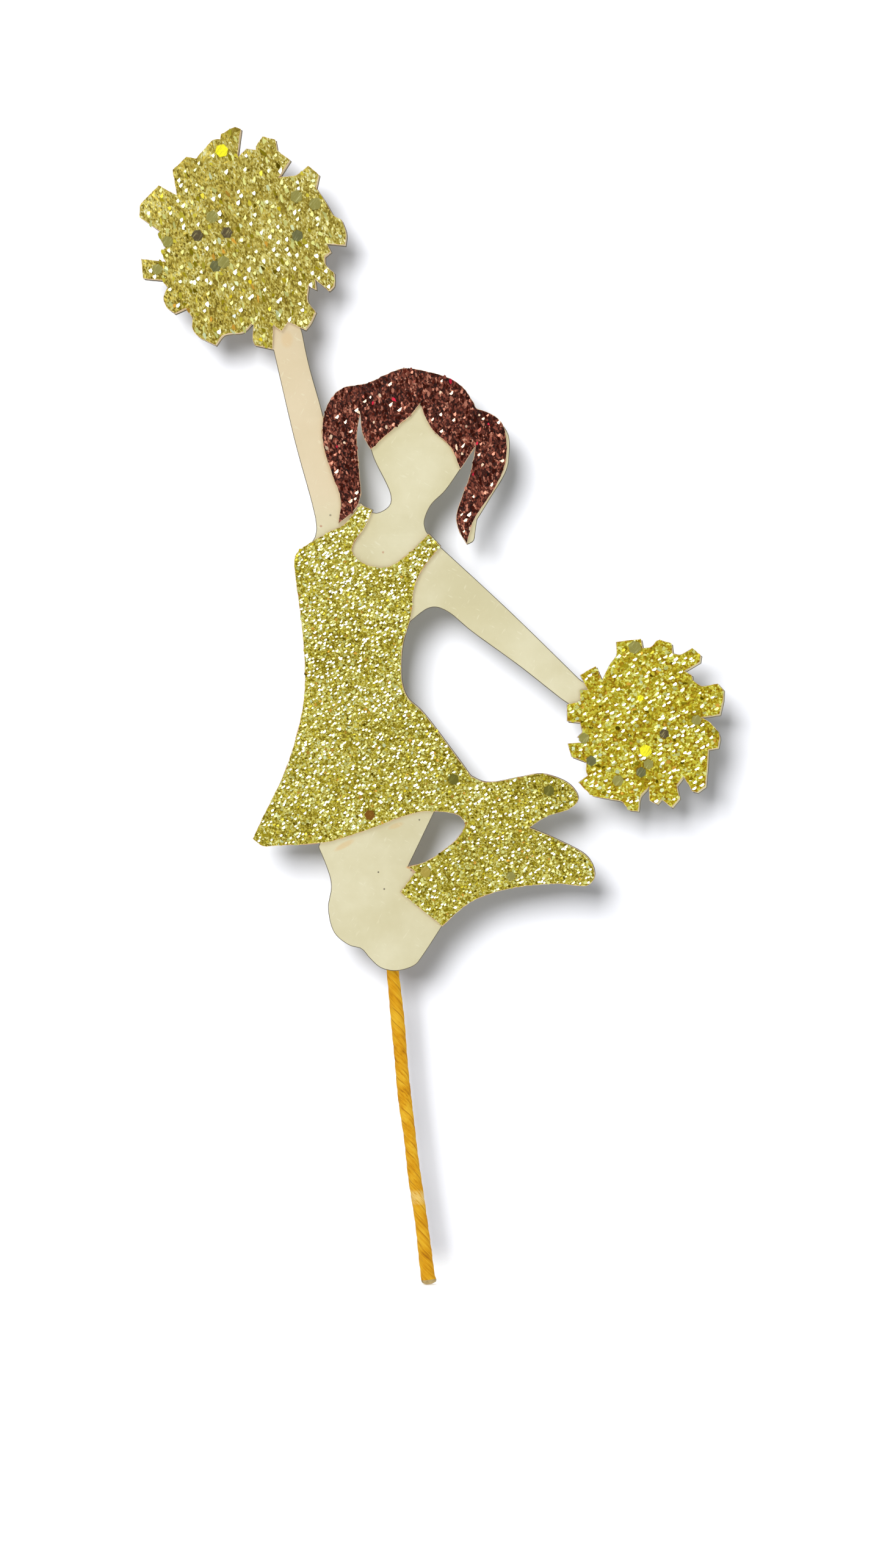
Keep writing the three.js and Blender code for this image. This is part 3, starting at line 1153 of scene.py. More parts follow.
@dataclass(frozen=True)
class Flakes:
    """Hexagonal glitter flakes scattered over an outline.

    Attributes:
        outline: The shape that holds their middles.
        mix: How they lie.
        y: The y of the sheet's front face.
        seed: The seed of their random draws.
        clear: The x, z and reach of rounds that hold no flake.
        sides: How many sides a flake has.
        depth: How far its foot reaches into the bed.
        glint_spread: How far the glints stray from facing the key light.
        lean_spread: How far the flakes stray from their common lean, in radians.
    """

    outline: Outline
    mix: FlakeMix
    y: float
    seed: int
    clear: tuple[Place, ...] = ()
    sides: int = 6
    depth: float = 0.12 * MM
    glint_spread: float = 0.035
    lean_spread: float = 0.16

    def build(self, name: str) -> bpy.types.Object:
        """Builds all flakes as one piece, each a closed chip that tapers into the bed.

        Args:
            name: The piece's name.

        Returns:
            The piece.
        """
        rng = np.random.default_rng(self.seed)
        centres = self._centres(rng)
        count = len(centres)
        low, high = self.outline.corners()
        up = (centres[:, 1] - low[1]) / (high[1] - low[1])
        glints = rng.random(count) < np.interp(up, (0.0, 1.0), self.mix.glint)
        glints &= self.outline.inset(self.mix.radius[0]).contains(centres)
        normals = self._normals(rng, glints)
        along, across = self._axes(rng, normals)
        radius = rng.uniform(*self.mix.radius, count)
        stretch = rng.uniform(*self.mix.stretch, count)
        angles = np.arange(self.sides) / self.sides * 2 * math.pi
        wobble = rng.uniform(0.86, 1.10, (count, self.sides))
        rim = (
            np.cos(angles)[None, :, None] * (along * (radius * stretch)[:, None])[:, None, :]
            + np.sin(angles)[None, :, None] * (across * radius[:, None])[:, None, :]
        ) * wobble[:, :, None]
        heart = np.column_stack([centres[:, 0], np.full(count, self.y), centres[:, 1]])
        heart = heart + normals * rng.uniform(0.3, 1.0, count)[:, None] * self.mix.proud
        foot = heart - normals * self.depth
        points = np.concatenate([heart[:, None, :] + rim, foot[:, None, :]], axis=1).reshape(-1, 3)
        tints, slots = self._tints(rng, glints)
        faces: list[tuple[int, ...]] = []
        for start in range(0, count * (self.sides + 1), self.sides + 1):
            ring = [start + i for i in range(self.sides)]
            faces.append(tuple(ring))
            tip = start + self.sides
            faces.extend((ring[(i + 1) % self.sides], ring[i], tip) for i in range(self.sides))
        materials = [tint.material() for tint in tints]
        return mesh_object(name, points, faces, materials, np.repeat(slots, self.sides + 1))

    def _centres(self, rng: np.random.Generator) -> np.ndarray:
        """Scatters the flakes' middles over the shape.

        Args:
            rng: The random source.

        Returns:
            Rows of x and z.
        """
        low, high = self.outline.corners()
        mean = sum(self.mix.radius) / 2
        area = HEXAGON_AREA * mean * mean * sum(self.mix.stretch) / 2
        densest = max(self.mix.cover) / area
        pitch = 1.0 / math.sqrt(densest)
        columns = np.arange(low[0], high[0], pitch)
        rows = np.arange(low[1], high[1], pitch)
        grid = np.stack(np.meshgrid(columns, rows), axis=-1).reshape(-1, 2)
        grid = grid + rng.uniform(0.0, 1.0, grid.shape) * pitch
        up = (grid[:, 1] - low[1]) / (high[1] - low[1])
        wanted = np.interp(up, (0.0, 1.0), self.mix.cover)
        grid = grid[rng.random(len(grid)) < wanted / max(self.mix.cover)]
        for x, z, reach in self.clear:
            grid = grid[np.hypot(grid[:, 0] - x, grid[:, 1] - z) > reach]
        return grid[self.outline.contains(grid)]

    def _normals(self, rng: np.random.Generator, glints: np.ndarray) -> np.ndarray:
        """Tips each flake: glints towards the key light, the rest any way.

        Args:
            rng: The random source.
            glints: Which flakes are glints.

        Returns:
            A unit normal for each flake.
        """
        count = len(glints)
        way = rng.uniform(0.0, 2 * math.pi, count)
        tip = np.tan(self.mix.tilt * np.sqrt(rng.random(count)))
        normals = np.column_stack([np.cos(way) * tip, -np.ones(count), np.sin(way) * tip])
        half = np.array(direction(KEY_AZIMUTH, KEY_ELEVATION)) + np.array(OUTWARD)
        half = half / np.linalg.norm(half)
        normals[glints] = half + rng.normal(0.0, self.glint_spread, (int(glints.sum()), 3))
        return normals / np.linalg.norm(normals, axis=1)[:, None]

    def _axes(self, rng: np.random.Generator, normals: np.ndarray) -> tuple[np.ndarray, np.ndarray]:
        """Turns each flake in its own plane.

        Args:
            rng: The random source.
            normals: Each flake's normal.

        Returns:
            The direction of its length and of its width.
        """
        count = len(normals)
        if self.mix.lean is None:
            lean = rng.uniform(0.0, 2 * math.pi, count)
        else:
            lean = self.mix.lean + rng.normal(0.0, self.lean_spread, count)
        length = np.column_stack([np.sin(lean), np.zeros(count), np.cos(lean)])
        across = np.cross(length, normals)
        across = across / np.linalg.norm(across, axis=1)[:, None]
        return np.cross(normals, across), across

    def _tints(self, rng: np.random.Generator, glints: np.ndarray) -> tuple[list[Foil], np.ndarray]:
        """Picks a tint for each flake, with paler ones for the glints as a painted highlight.

        Args:
            rng: The random source.
            glints: Which flakes are glints.

        Returns:
            The tints in use, and the number of each flake's.
        """
        tints = list(dict.fromkeys([t for t, _ in (*self.mix.tints, *self.mix.glint_tints)]))
        slots = np.zeros(len(glints), int)
        for wanted, chosen in ((self.mix.tints, ~glints), (self.mix.glint_tints, glints)):
            weights = np.array([weight for _, weight in wanted])
            numbers = np.array([tints.index(tint) for tint, _ in wanted])
            picks = rng.choice(len(wanted), int(chosen.sum()), p=weights / weights.sum())
            slots[chosen] = numbers[picks]
        return tints, slots


@dataclass(frozen=True)
class StrayFlake:
    """One large flake on a sheet, placed as shares of the sheet's own box.

    Attributes:
        across: Share of the sheet's width, from its left edge.
        up: Share of its height, from its lowest edge.
        radius: The flake's radius.
        finish: Its finish.
    """

    across: float
    up: float
    radius: float
    finish: BigFlake


@dataclass(frozen=True)
class BoardFigure:
    """The one-piece ivory silhouette that everything else is glued to."""

    node: str = "base_silhouette"
    slot: str = "ivory_board"
    ease: float = 0.12 * MM
    step: float = 0.5 * MM

    def build(self) -> None:
        """Builds the silhouette and dresses it."""
        low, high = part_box(self.node)
        outline = Outline.of_node(self.node).smoothed(self.step)
        face = IvoryBoard().material(self.node)
        # Painted shade: the board's cut edge and softened rim are coloured far darker than its face, so
        # that they show from the front as a shaded outline.
        edge = CutEdge("ivory_board_edge", srgb(124, 114, 92), srgb(72, 68, 56)).material()
        piece = Plate(outline, low.y, high.y, self.ease).build("figure_board", face, edge, face)
        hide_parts(self.node)


@dataclass(frozen=True)
class GlitterSheet:
    """One cut piece of glitter card: the card, its loose glitter and its large flakes.

    Attributes:
        node: The CAD node that it stands for.
        slot: The record's material slot; not used.
        ground: Its glitter bed.
        mixes: Its layers of loose glitter.
        strays: Its large flakes.
        seed: The seed of its random draws.
        ease: The size of its softened edges.
        step: The spacing of its outline's points.
        fray: How far its cut edge strays.
        margin: How far in from the edge the middles of the loose flakes stay.
        stray_sides: How many sides a large flake has.
        stray_proud: How far a large flake's front stands off the card.
        stray_sunk: How far its back is sunk in the card.
        stray_tip: The most that it tips, as a slope.
        stray_clear: How far round it no loose flake lies, in its own radii.
    """

    node: str
    slot: str
    ground: GlitterGround
    mixes: tuple[FlakeMix, ...]
    strays: tuple[StrayFlake, ...] = ()
    seed: int = 1
    ease: float = 0.06 * MM
    step: float = 0.32 * MM
    fray: float = 0.07 * MM
    margin: float = 0.14 * MM
    stray_sides: int = 6
    stray_proud: float = 0.16 * MM
    stray_sunk: float = 0.05 * MM
    stray_tip: float = 0.06
    stray_clear: float = 1.02

    def build(self) -> None:
        """Builds the sheet with everything on it."""
        low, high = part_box(self.node)
        rng = np.random.default_rng(self.seed)
        clean = Outline.of_node(self.node).smoothed(self.step)
        ragged = clean.roughened(rng, self.fray)
        face = self.ground.material()
        edge = self._edge()
        card = Plate(ragged, low.y, high.y, self.ease).build(f"{self.node}_card", face, edge, edge)
        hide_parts(self.node)
        for number, mix in enumerate(self.mixes, start=1):
            inner = clean.inset(self.margin)
            flakes = Flakes(inner, mix, low.y, self.seed * 10 + number, self._clear(low, high))
            layer = flakes.build(f"{self.node}_glitter_{number}")
        if self.strays:
            self._build_strays(low, high, rng)

    def _edge(self) -> bpy.types.Material:
        """The cream paper that shows at the card's cut edge."""
        name = "glitter_card_edge"
        found = bpy.data.materials.get(name)
        return found or CutEdge(name, srgb(240, 218, 186), srgb(206, 172, 130)).material()

    def _stray_middles(self, low: Vector, high: Vector) -> list[tuple[float, float]]:
        """The x and z of each large flake's middle, from the sheet's lowest and highest corners."""
        wide, tall = high.x - low.x, high.z - low.z
        return [(low.x + stray.across * wide, low.z + stray.up * tall) for stray in self.strays]

    def _clear(self, low: Vector, high: Vector) -> tuple[Place, ...]:
        """The rounds that the large flakes cover.

        Args:
            low: The sheet's lowest corner.
            high: The sheet's highest corner.

        Returns:
            The x, z and reach of each.
        """
        middles = self._stray_middles(low, high)
        return tuple((x, z, s.radius * self.stray_clear) for (x, z), s in zip(middles, self.strays))

    def _build_strays(self, low: Vector, high: Vector, rng: np.random.Generator) -> None:
        """Lays the large flakes.

        Args:
            low: The sheet's lowest corner.
            high: The sheet's highest corner.
            rng: The random source.
        """
        points: list[tuple[float, float, float]] = []
        faces: list[tuple[int, ...]] = []
        slots: list[int] = []
        finishes = list(dict.fromkeys(stray.finish for stray in self.strays))
        for (x, z), stray in zip(self._stray_middles(low, high), self.strays):
            turn = rng.uniform(0.0, math.pi / 3)
            tip_x, tip_z = rng.uniform(-self.stray_tip, self.stray_tip, 2)
            start = len(points)
            for y in (low.y - self.stray_proud, low.y + self.stray_sunk):
                for i in range(self.stray_sides):
                    angle = turn + i / self.stray_sides * 2 * math.pi
                    dx = math.cos(angle) * stray.radius
                    dz = math.sin(angle) * stray.radius
                    points.append((x + dx, y + dx * tip_x + dz * tip_z, z + dz))
            top = [start + i for i in range(self.stray_sides)]
            bottom = [i + self.stray_sides for i in top]
            faces.append(tuple(top))
            faces.append(tuple(reversed(bottom)))
            for i in range(self.stray_sides):
                j = (i + 1) % self.stray_sides
                faces.append((top[i], bottom[i], bottom[j], top[j]))
            slots += [finishes.index(stray.finish)] * (2 + self.stray_sides)
        materials = [finish.value.material() for finish in finishes]
        piece = mesh_object(f"{self.node}_large_flakes", points, faces, materials, slots)


@dataclass(frozen=True)
class AdhesiveFilm:
    """The thin film of dried adhesive under one glitter sheet."""

    node: str
    seed: int
    slot: str = "adhesive"
    step: float = 0.6 * MM
    ooze: float = 0.10 * MM

    def build(self, finish: bpy.types.Material) -> None:
        """Builds the film.

        Args:
            finish: The adhesive's finish.
        """
        low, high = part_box(self.node)
        rng = np.random.default_rng(self.seed)
        outline = Outline.of_node(self.node).smoothed(self.step).roughened(rng, self.ooze)
        plate = Plate(outline, low.y, high.y, 0.03 * MM, 1)
        piece = plate.build(f"{self.node}_film", finish, finish, finish)
        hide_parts(self.node)


@dataclass(frozen=True)
class TwistedStick:
    """The twisted paper stick, with its winding ridges, kinks and swollen cut end.

    Attributes:
        node: The CAD node that it stands for.
        slot: The record's material slot; not used.
        sides: How many points lie round it.
        ring_step: The spacing of its rings.
        strands: How many strands wind round it.
        pitch: The height of one turn of the twist.
        ridge: How far a strand's middle stands over its valleys.
        swell: How far the frayed lower end swells.
        swell_length: How far up the swelling reaches.
        round_end: How far from its ends it starts to round off.
        bare_end: How much of its lower end shows the undyed paper.
        slack: How loosely the paper is wound.
    """

    node: str = "paper_stick"
    slot: str = "twisted_paper"
    sides: int = 40
    ring_step: float = 0.28 * MM
    strands: int = 3
    pitch: float = 8.0 * MM
    ridge: float = 0.08 * MM
    swell: float = 0.36 * MM
    swell_length: float = 1.3 * MM
    round_end: float = 0.8 * MM
    bare_end: float = 0.75 * MM
    slack: float = 0.040 * MM

    def centreline(self) -> np.ndarray:
        """Finds the middle of each of the CAD stick's rings.

        Returns:
            Rows of x, y and z, from the lower end up.
        """
        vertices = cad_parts[self.node].data.vertices
        corners = {tuple(round(c, 7) for c in vertex.co) for vertex in vertices}
        points = np.array(sorted(corners, key=lambda point: point[2]))
        gaps = np.where(np.diff(points[:, 2]) > 1.0 * MM)[0] + 1
        return np.array([ring.mean(axis=0) for ring in np.split(points, gaps)])

    def build(self) -> None:
        """Builds the stick and dresses it."""
        low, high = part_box(self.node)
        radius = (high.y - low.y) / 2
        line = self.centreline()
        count = int((high.z - low.z) / self.ring_step)
        levels = np.linspace(line[0, 2], line[-1, 2], count)
        middle = smooth_columns(line, levels)
        ahead = np.gradient(middle, axis=0)
        ahead = ahead / np.linalg.norm(ahead, axis=1)[:, None]
        side = np.cross(ahead, np.array([0.0, 1.0, 0.0]))
        side = side / np.linalg.norm(side, axis=1)[:, None]
        front = np.cross(side, ahead)
        angles = np.arange(self.sides) / self.sides * 2 * math.pi
        run = levels - levels[0]
        reach = self._reach(angles, run, radius, high.z - low.z)
        ring = (
            np.cos(angles)[None, :, None] * side[:, None, :]
            + np.sin(angles)[None, :, None] * front[:, None, :]
        )
        points = (middle[:, None, :] + ring * reach[:, :, None]).reshape(-1, 3)
        faces = [
            (a * self.sides + i, a * self.sides + j, (a + 1) * self.sides + j, (a + 1) * self.sides + i)
            for a in range(count - 1)
            for i, j in ((i, (i + 1) % self.sides) for i in range(self.sides))
        ]
        faces.append(tuple(reversed(range(self.sides))))
        faces.append(tuple((count - 1) * self.sides + i for i in range(self.sides)))
        slots = [int(level < self.bare_end) for level in run[:-1] for _ in range(self.sides)]
        slots += [1, 1]
        smooth = [True] * (len(faces) - 2) + [False] * 2
        wrap = TwistedPaper().material(self.node)
        end = CutEdge("twisted_paper_end", srgb(196, 172, 116), srgb(132, 108, 62)).material()
        piece = mesh_object("twisted_stick", points, faces, (wrap, end), slots, smooth)
        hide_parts(self.node)

    def _reach(self, angles: np.ndarray, run: np.ndarray, radius: float, length: float) -> np.ndarray:
        """How far the paper stands from the stick's middle.

        Args:
            angles: The angles round the stick.
            run: How far up the stick each ring is.
            radius: The stick's plain radius.
            length: The stick's length.

        Returns:
            A distance for each ring and angle.
        """
        turn = angles[None, :] - run[:, None] / self.pitch * 2 * math.pi
        uneven = 0.5 * np.sin(run / (11.0 * MM))[:, None]
        lobes = np.abs(np.sin(turn * self.strands / 2 + uneven)) ** 0.6
        fine = np.sin(turn * 9 + 3.0 * np.sin(run / (5.0 * MM))[:, None]) * 0.12
        reach = radius - self.ridge + self.ridge * (lobes * 1.3 + fine)
        slack = self.slack * (np.sin(run / (2.3 * MM)) + np.sin(run / (6.1 * MM) + 1.0))
        reach = reach + slack[:, None]
        swell = np.exp(-((run / self.swell_length) ** 2))[:, None]
        lopsided = 0.55 - 0.45 * np.cos(angles)[None, :]
        reach = reach + self.swell * swell * lopsided
        for distance in (run, length - run):
            close = np.clip(distance / self.round_end, 0.0, 1.0)
            reach = reach * (0.45 + 0.55 * np.sqrt(1 - (1 - close) ** 2))[:, None]
        return reach


def smooth_columns(line: np.ndarray, levels: np.ndarray) -> np.ndarray:
    """Runs a smooth line through points that rise in z.

    Args:
        line: The points, from the lowest up.
        levels: The heights that are wanted.

    Returns:
        A point at each height.
    """
    rise = line[:, 2]
    slope = np.gradient(line, rise, axis=0)
    index = np.clip(np.searchsorted(rise, levels) - 1, 0, len(rise) - 2)
    span = (rise[index + 1] - rise[index])[:, None]
    t = ((levels - rise[index]) / span[:, 0])[:, None]
    start, end = line[index], line[index + 1]
    return (
        (2 * t**3 - 3 * t**2 + 1) * start
        + (t**3 - 2 * t**2 + t) * span * slope[index]
        + (3 * t**2 - 2 * t**3) * end
        + (t**3 - t**2) * span * slope[index + 1]
    )


@dataclass(frozen=True)
class HotGlueDab:
    """One lump of set hot glue that holds the stick to the back of the board."""

    node: str
    seed: int
    slot: str = "hot_glue"
    rings: int = 22
    sides: int = 64

    def build(self, finish: bpy.types.Material) -> None:
        """Builds the lump as a low dome with a wavy foot.

        Args:
            finish: The glue's finish.
        """
        low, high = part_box(self.node)
        rng = np.random.default_rng(self.seed)
        middle = (low + high) / 2
        half_x, half_z = (high.x - low.x) / 2, (high.z - low.z) / 2
        rise = high.y - low.y
        waves = [(k, rng.uniform(0.0, 2 * math.pi), rng.uniform(0.02, 0.06)) for k in (2, 3, 5, 7)]
        points = [(middle.x, high.y, middle.z)]
        for ring in range(1, self.rings + 1):
            share = ring / self.rings
            for i in range(self.sides):
                angle = i / self.sides * 2 * math.pi
                wave = sum(size * math.sin(k * angle + phase) for k, phase, size in waves)
                spread = share * (0.93 + wave * share)
                dome = (1.0 - share**2.4) ** 0.62
                sag = 0.06 * wave / 0.1 * share
                y = low.y + rise * max(0.0, dome * (1.0 + sag))
                x = middle.x + half_x * spread * math.cos(angle)
                z = middle.z + half_z * spread * math.sin(angle)
                points.append((x, y, z))
        points.append((middle.x, low.y, middle.z))
        faces: list[tuple[int, ...]] = []
        for i in range(self.sides):
            j = (i + 1) % self.sides
            faces.append((0, 1 + j, 1 + i))
            for ring in range(self.rings - 1):
                a, b = 1 + ring * self.sides, 1 + (ring + 1) * self.sides
                faces.append((a + i, a + j, b + j, b + i))
            last = 1 + (self.rings - 1) * self.sides
            faces.append((last + i, last + j, len(points) - 1))
        piece = mesh_object(f"{self.node}_lump", points, faces, (finish,), None, [True] * len(faces))
        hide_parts(self.node)


GOLD_TINTS = (
    (Foil.PALE_GOLD, 0.30),
    (Foil.GOLD, 0.33),
    (Foil.OLIVE, 0.21),
    (Foil.UMBER, 0.04),
    (Foil.AMBER, 0.04),
    (Foil.CREAM, 0.08),
)
# Painted highlight: flakes tipped towards the key light get these paler tints, the other flakes the tints
# above.
GOLD_GLINTS = ((Foil.FROST, 0.46), (Foil.CREAM, 0.34), (Foil.PALE_GOLD, 0.20))
BROWN_TINTS = (
    (Foil.MAROON, 0.46),
    (Foil.ROSE, 0.28),
    (Foil.COPPER, 0.21),
    (Foil.CHERRY, 0.02),
    (Foil.ROSE_CREAM, 0.03),
)
# Painted highlight: hair flakes tipped towards the key light get these pale cream and white tints, the
# other flakes the darker tints above.
BROWN_GLINTS = ((Foil.ROSE_CREAM, 0.62), (Foil.FROST, 0.03), (Foil.COPPER, 0.35))

DRESS = GlitterSheet(
    node="dress_and_boots",
    slot="gold_glitter",
    ground=GlitterGround("gold_glitter_dress", GlitterShade.GOLD),
    mixes=(
        FlakeMix((0.18 * MM, 0.31 * MM), (0.34, 0.42), GOLD_TINTS, (0.24, 0.60), GOLD_GLINTS),
    ),
    strays=(
        StrayFlake(0.342, 0.264, 0.95 * MM, BigFlake.RUSSET),
        StrayFlake(0.587, 0.349, 1.00 * MM, BigFlake.MOSS),
        StrayFlake(0.866, 0.322, 1.00 * MM, BigFlake.MOSS),
        StrayFlake(0.755, 0.119, 0.85 * MM, BigFlake.KHAKI),
        StrayFlake(0.505, 0.129, 1.00 * MM, BigFlake.HONEY),
    ),
    seed=3,
)

UPPER_POM = GlitterSheet(
    node="pom_pom_upper",
    slot="gold_glitter",
    ground=GlitterGround("gold_glitter_upper", GlitterShade.PALE_GOLD, 0.21 * MM, 1.7, math.radians(-20)),
    mixes=(
        FlakeMix(
            (0.28 * MM, 0.38 * MM), (0.26, 0.17), GOLD_TINTS, (0.44, 0.36), GOLD_GLINTS,
            stretch=(1.7, 2.6), lean=math.radians(-18.0),
        ),
    ),
    strays=(
        StrayFlake(0.352, 0.594, 1.15 * MM, BigFlake.KHAKI),
        StrayFlake(0.760, 0.685, 1.15 * MM, BigFlake.KHAKI),
        StrayFlake(0.850, 0.652, 1.15 * MM, BigFlake.KHAKI),
        StrayFlake(0.137, 0.482, 1.05 * MM, BigFlake.KHAKI),
        StrayFlake(0.087, 0.358, 1.00 * MM, BigFlake.KHAKI),
        StrayFlake(0.407, 0.391, 1.15 * MM, BigFlake.KHAKI),
        StrayFlake(0.369, 0.373, 1.05 * MM, BigFlake.SMOKE),
        StrayFlake(0.765, 0.510, 1.05 * MM, BigFlake.SMOKE),
        StrayFlake(0.281, 0.510, 1.05 * MM, BigFlake.UMBER),
        StrayFlake(0.423, 0.523, 1.05 * MM, BigFlake.UMBER),
        StrayFlake(0.399, 0.891, 1.20 * MM, BigFlake.LEMON),
    ),
    seed=5,
)

LOWER_POM = GlitterSheet(
    node="pom_pom_lower",
    slot="gold_glitter",
    ground=GlitterGround("gold_glitter_lower", GlitterShade.DEEP_GOLD, 0.24 * MM, 1.2, math.radians(80)),
    mixes=(
        FlakeMix(
            (0.26 * MM, 0.40 * MM), (0.40, 0.40), GOLD_TINTS, (0.32, 0.34), GOLD_GLINTS,
            stretch=(1.0, 1.4), lean=math.radians(80.0),
        ),
    ),
    strays=(
        StrayFlake(0.433, 0.951, 1.20 * MM, BigFlake.KHAKI),
        StrayFlake(0.520, 0.272, 0.95 * MM, BigFlake.KHAKI),
        StrayFlake(0.473, 0.226, 0.95 * MM, BigFlake.SMOKE),
        StrayFlake(0.325, 0.177, 1.05 * MM, BigFlake.KHAKI),
        StrayFlake(0.827, 0.528, 0.95 * MM, BigFlake.KHAKI),
        StrayFlake(0.108, 0.423, 1.00 * MM, BigFlake.KHAKI),
        StrayFlake(0.155, 0.292, 0.95 * MM, BigFlake.SMOKE),
        StrayFlake(0.621, 0.449, 0.90 * MM, BigFlake.UMBER),
        StrayFlake(0.502, 0.351, 1.15 * MM, BigFlake.LEMON),
        StrayFlake(0.469, 0.656, 0.60 * MM, BigFlake.LEMON),
    ),
    seed=7,
)

HAIR = GlitterSheet(
    node="hair",
    slot="brown_glitter",
    ground=GlitterGround("brown_glitter_hair", GlitterShade.BROWN, 0.22 * MM, 1.5, math.radians(-8)),
    mixes=(
        FlakeMix(
            (0.18 * MM, 0.34 * MM), (0.36, 0.36), BROWN_TINTS, (0.07, 0.05), BROWN_GLINTS,
            stretch=(1.3, 2.0), lean=math.radians(-6.0),
        ),
        # A few large glints, all in the pale tints: painted highlights.
        FlakeMix(
            (0.34 * MM, 0.48 * MM), (0.022, 0.016), BROWN_TINTS, (1.0, 1.0), BROWN_GLINTS[:2],
            stretch=(1.0, 1.5), lean=math.radians(-6.0),
        ),
    ),
    seed=11,
)


@dataclass(frozen=True)
class SoftBox:
    """One plain square area light.

    Attributes:
        name: The light's name.
        azimuth: The angle round the figure at which it hangs.
        elevation: The angle above level at which it hangs.
        distance: How far it is from what it points at.
        side: The length of its side.
        brightness: The power of its surface, over pi, in watts for a square metre.
    """

    name: str
    azimuth: float
    elevation: float
    distance: float
    side: float
    brightness: float

    def build(self, target: Vector) -> bpy.types.Object:
        """Hangs the light.

        Args:
            target: What it points at.

        Returns:
            The light.
        """
        lamp = bpy.data.lights.new(self.name, "AREA")
        lamp.shape = "SQUARE"
        lamp.size = self.side
        lamp.energy = self.brightness * math.pi * self.side**2
        holder = bpy.data.objects.new(self.name, lamp)
        away = Vector(direction(self.azimuth, self.elevation))
        holder.location = target + away * self.distance
        holder.rotation_euler = (-away).to_track_quat("-Z", "Y").to_euler()
        bpy.context.scene.collection.objects.link(holder)
        return holder


def stage_sheet(name: str, corners: Sequence[Place], paint: bpy.types.Material) -> bpy.types.Object:
    """Makes a flat sheet of the stage, which is not part of the object.

    Args:
        name: The sheet's name.
        corners: Its corners, in order.
        paint: Its finish.

    Returns:
        The sheet.
    """
    mesh = bpy.data.meshes.new(name)
    mesh.from_pydata(corners, [], [tuple(range(len(corners)))])
    mesh.materials.append(paint)
    sheet = bpy.data.objects.new(name, mesh)
    bpy.context.scene.collection.objects.link(sheet)
    return sheet


FIGURE_LIGHTS = (
    SoftBox("key_light", KEY_AZIMUTH, KEY_ELEVATION, 0.8, 0.34, 5.4),
    SoftBox("fill_light", math.radians(38), math.radians(18), 0.9, 0.30, 2.8),
    SoftBox("top_light", math.radians(10), math.radians(72), 0.9, 0.40, 2.4),
    SoftBox("rear_light", math.radians(205), math.radians(35), 1.0, 0.40, 4.0),
)
SHADOW_LIGHT = SoftBox("shadow_light", math.radians(-21), math.radians(21), 0.9, 0.48, 38.0)


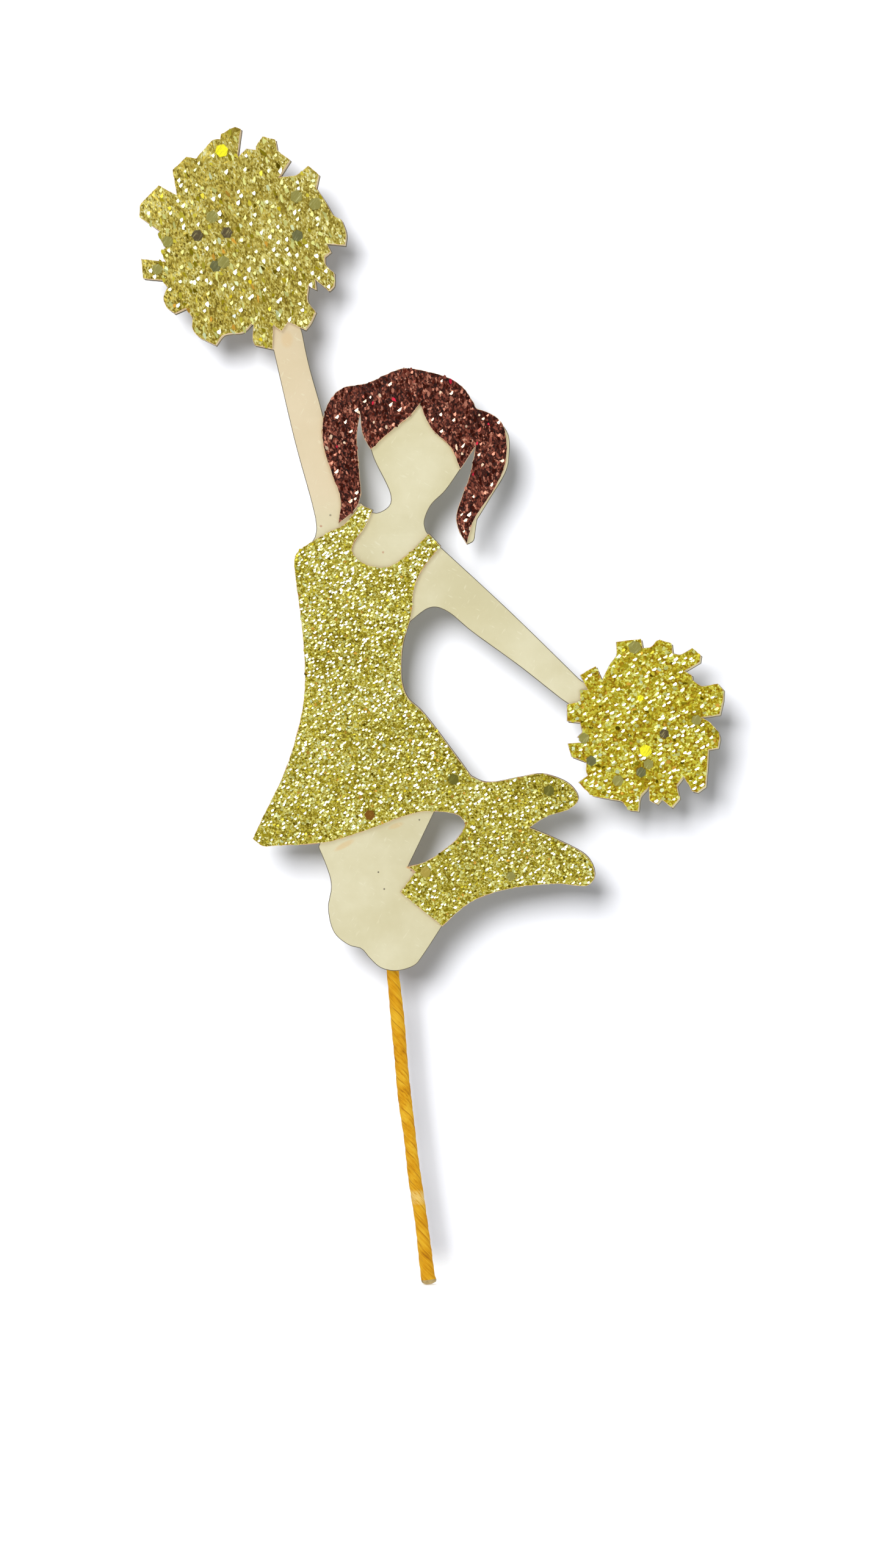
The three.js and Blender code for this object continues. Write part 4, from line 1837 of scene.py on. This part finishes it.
@dataclass(frozen=True)
class Studio:
    """The camera, the soft lights, the plain pale floor and the card behind the object.

    Attributes:
        field_height: The height that the camera takes in at the figure.
        below: How far under the stick's end the picture reaches.
        beside: How far the picture's middle is to the right of the stick's end.
        distance: How far the camera stands from the figure.
        sensor: The width of the camera's sensor, in millimetres.
        ambient: How strongly the air lights the object.
        floor_reach: The floor's radius.
        floor_sides: How many sides the floor's rim has.
        floor_glow: How strongly the floor gives off its own colour.
        card: The card's colour.
        card_gap: How far behind the object the card stands.
        card_margin: How far past the object it reaches.
        card_fade: The height over which its foot fades out.
    """

    field_height: float = 277.6 * MM
    below: float = 50.0 * MM
    beside: float = 2.2 * MM
    distance: float = 760 * MM
    sensor: float = 36.0
    ambient: float = 0.42
    floor_reach: float = 0.85
    floor_sides: int = 64
    floor_glow: float = 1.02
    card: Colour = (0.330, 0.3333, 0.3498, 1.0)
    card_gap: float = 5.5 * MM
    card_margin: float = 40 * MM
    card_fade: float = 7 * MM

    def build(self) -> None:
        """Builds the whole studio."""
        low, high = cad_bounds
        self._camera(low)
        for light in FIGURE_LIGHTS:
            light.build((low + high) / 2)
        self._world()
        self._floor(low.z)
        self._backdrop(low, high)

    def _camera(self, low: Vector) -> None:
        """Sets up the camera.

        Args:
            low: The object's lowest corner.
        """
        lens = bpy.data.cameras.new("camera")
        lens.sensor_width = self.sensor
        lens.lens = self.sensor * self.distance / self.field_height
        lens.clip_start = 0.01
        lens.clip_end = 50.0
        camera = bpy.data.objects.new("camera", lens)
        camera.location = (self.beside, low.y - self.distance, self.field_height / 2 - self.below)
        camera.rotation_euler = (math.pi / 2, 0.0, 0.0)
        bpy.context.scene.collection.objects.link(camera)
        bpy.context.scene.camera = camera

    def _world(self) -> None:
        """Makes the air white to look at and a little dimmer to be lit by."""
        graph = Graph("studio_air", world=True)
        lit, seen = (
            graph.node("ShaderNodeBackground", None, {"Color": grey(1.0), "Strength": strength})
            for strength in (self.ambient, 1.0)
        )
        looked_at = graph.node("ShaderNodeLightPath", output="Is Camera Ray")
        either = graph.node("ShaderNodeMixShader", None, {0: looked_at, 1: lit, 2: seen})
        bpy.context.scene.world = graph.end(either)
        bpy.context.scene.view_settings.view_transform = "Standard"

    def _floor(self, level: float) -> None:
        """Lays the floor, which fades into the white air around it.

        Args:
            level: Its height.
        """
        graph = Graph("studio_floor_paint")
        place = graph.place()
        x, y, _ = graph.axes(place)
        tooth = graph.noise(place, 4 * MM, 2.0)
        far = ((x * x + y * y) ** 0.5).ramped(0.35 * self.floor_reach, 0.85 * self.floor_reach)
        paint = graph.finish(
            {
                "Base Color": graph.mix(tooth * 0.1, grey(0.93), grey(0.90)),
                "Roughness": 0.9,
                "Specular IOR Level": 0.1,
                "Emission Color": graph.mix(far, grey(0.40), grey(1.0)),
                "Emission Strength": self.floor_glow,
            }
        )
        turns = [i / self.floor_sides * 2 * math.pi for i in range(self.floor_sides)]
        rim = [(self.floor_reach * math.cos(a), self.floor_reach * math.sin(a), level) for a in turns]
        stage_sheet("studio_floor", rim, paint)

    def _backdrop(self, low: Vector, high: Vector) -> None:
        """Stands a small white card behind the object to take its soft shadow.

        The card has one side: nothing of it shows from behind, and it neither
        lights nor shades the object. A lamp of its own lights it.

        Args:
            low: The object's lowest corner.
            high: The object's highest corner.
        """
        graph = Graph("studio_backdrop_card")
        behind = graph.node("ShaderNodeNewGeometry", output="Backfacing")
        white = graph.node("ShaderNodeBsdfDiffuse", None, {"Color": self.card})
        clear = graph.node("ShaderNodeBsdfTransparent")
        _, _, z = graph.axes(graph.place())
        foot = z.ramped(low.z + self.card_fade, low.z)
        unseen = graph.maths("MAXIMUM", behind, foot)
        either = graph.node("ShaderNodeMixShader", None, {0: unseen, 1: white, 2: clear})
        y = high.y + self.card_gap
        left, right = low.x - self.card_margin, high.x + self.card_margin
        top = high.z + self.card_margin
        corners = [(left, y, low.z), (right, y, low.z), (right, y, top), (left, y, top)]
        card = stage_sheet("studio_backdrop", corners, graph.end(either))
        for kind in ("diffuse", "glossy", "transmission", "volume_scatter", "shadow"):
            setattr(card, f"visible_{kind}", False)
        lit_only = bpy.data.collections.new("studio_backdrop_only")
        lit_only.objects.link(card)
        lamp = SHADOW_LIGHT.build((low + high) / 2)
        lamp.light_linking.receiver_collection = lit_only


def main() -> None:
    """Builds the topper from the board outwards, then the studio."""
    logging.basicConfig(level=logging.INFO, format="%(message)s")
    BoardFigure().build()
    for sheet in (DRESS, UPPER_POM, LOWER_POM, HAIR):
        sheet.build()
    film = CraftAdhesive().material()
    for number, name in enumerate(("dress", "hair", "pom_upper", "pom_lower")):
        AdhesiveFilm(f"adhesive_{name}", 20 + number).build(film)
    TwistedStick().build()
    glue = HotGlue().material()
    HotGlueDab("hot_glue_lower", 31).build(glue)
    HotGlueDab("hot_glue_upper", 32).build(glue)
    Studio().build()


if __name__ == "__main__":
    main()
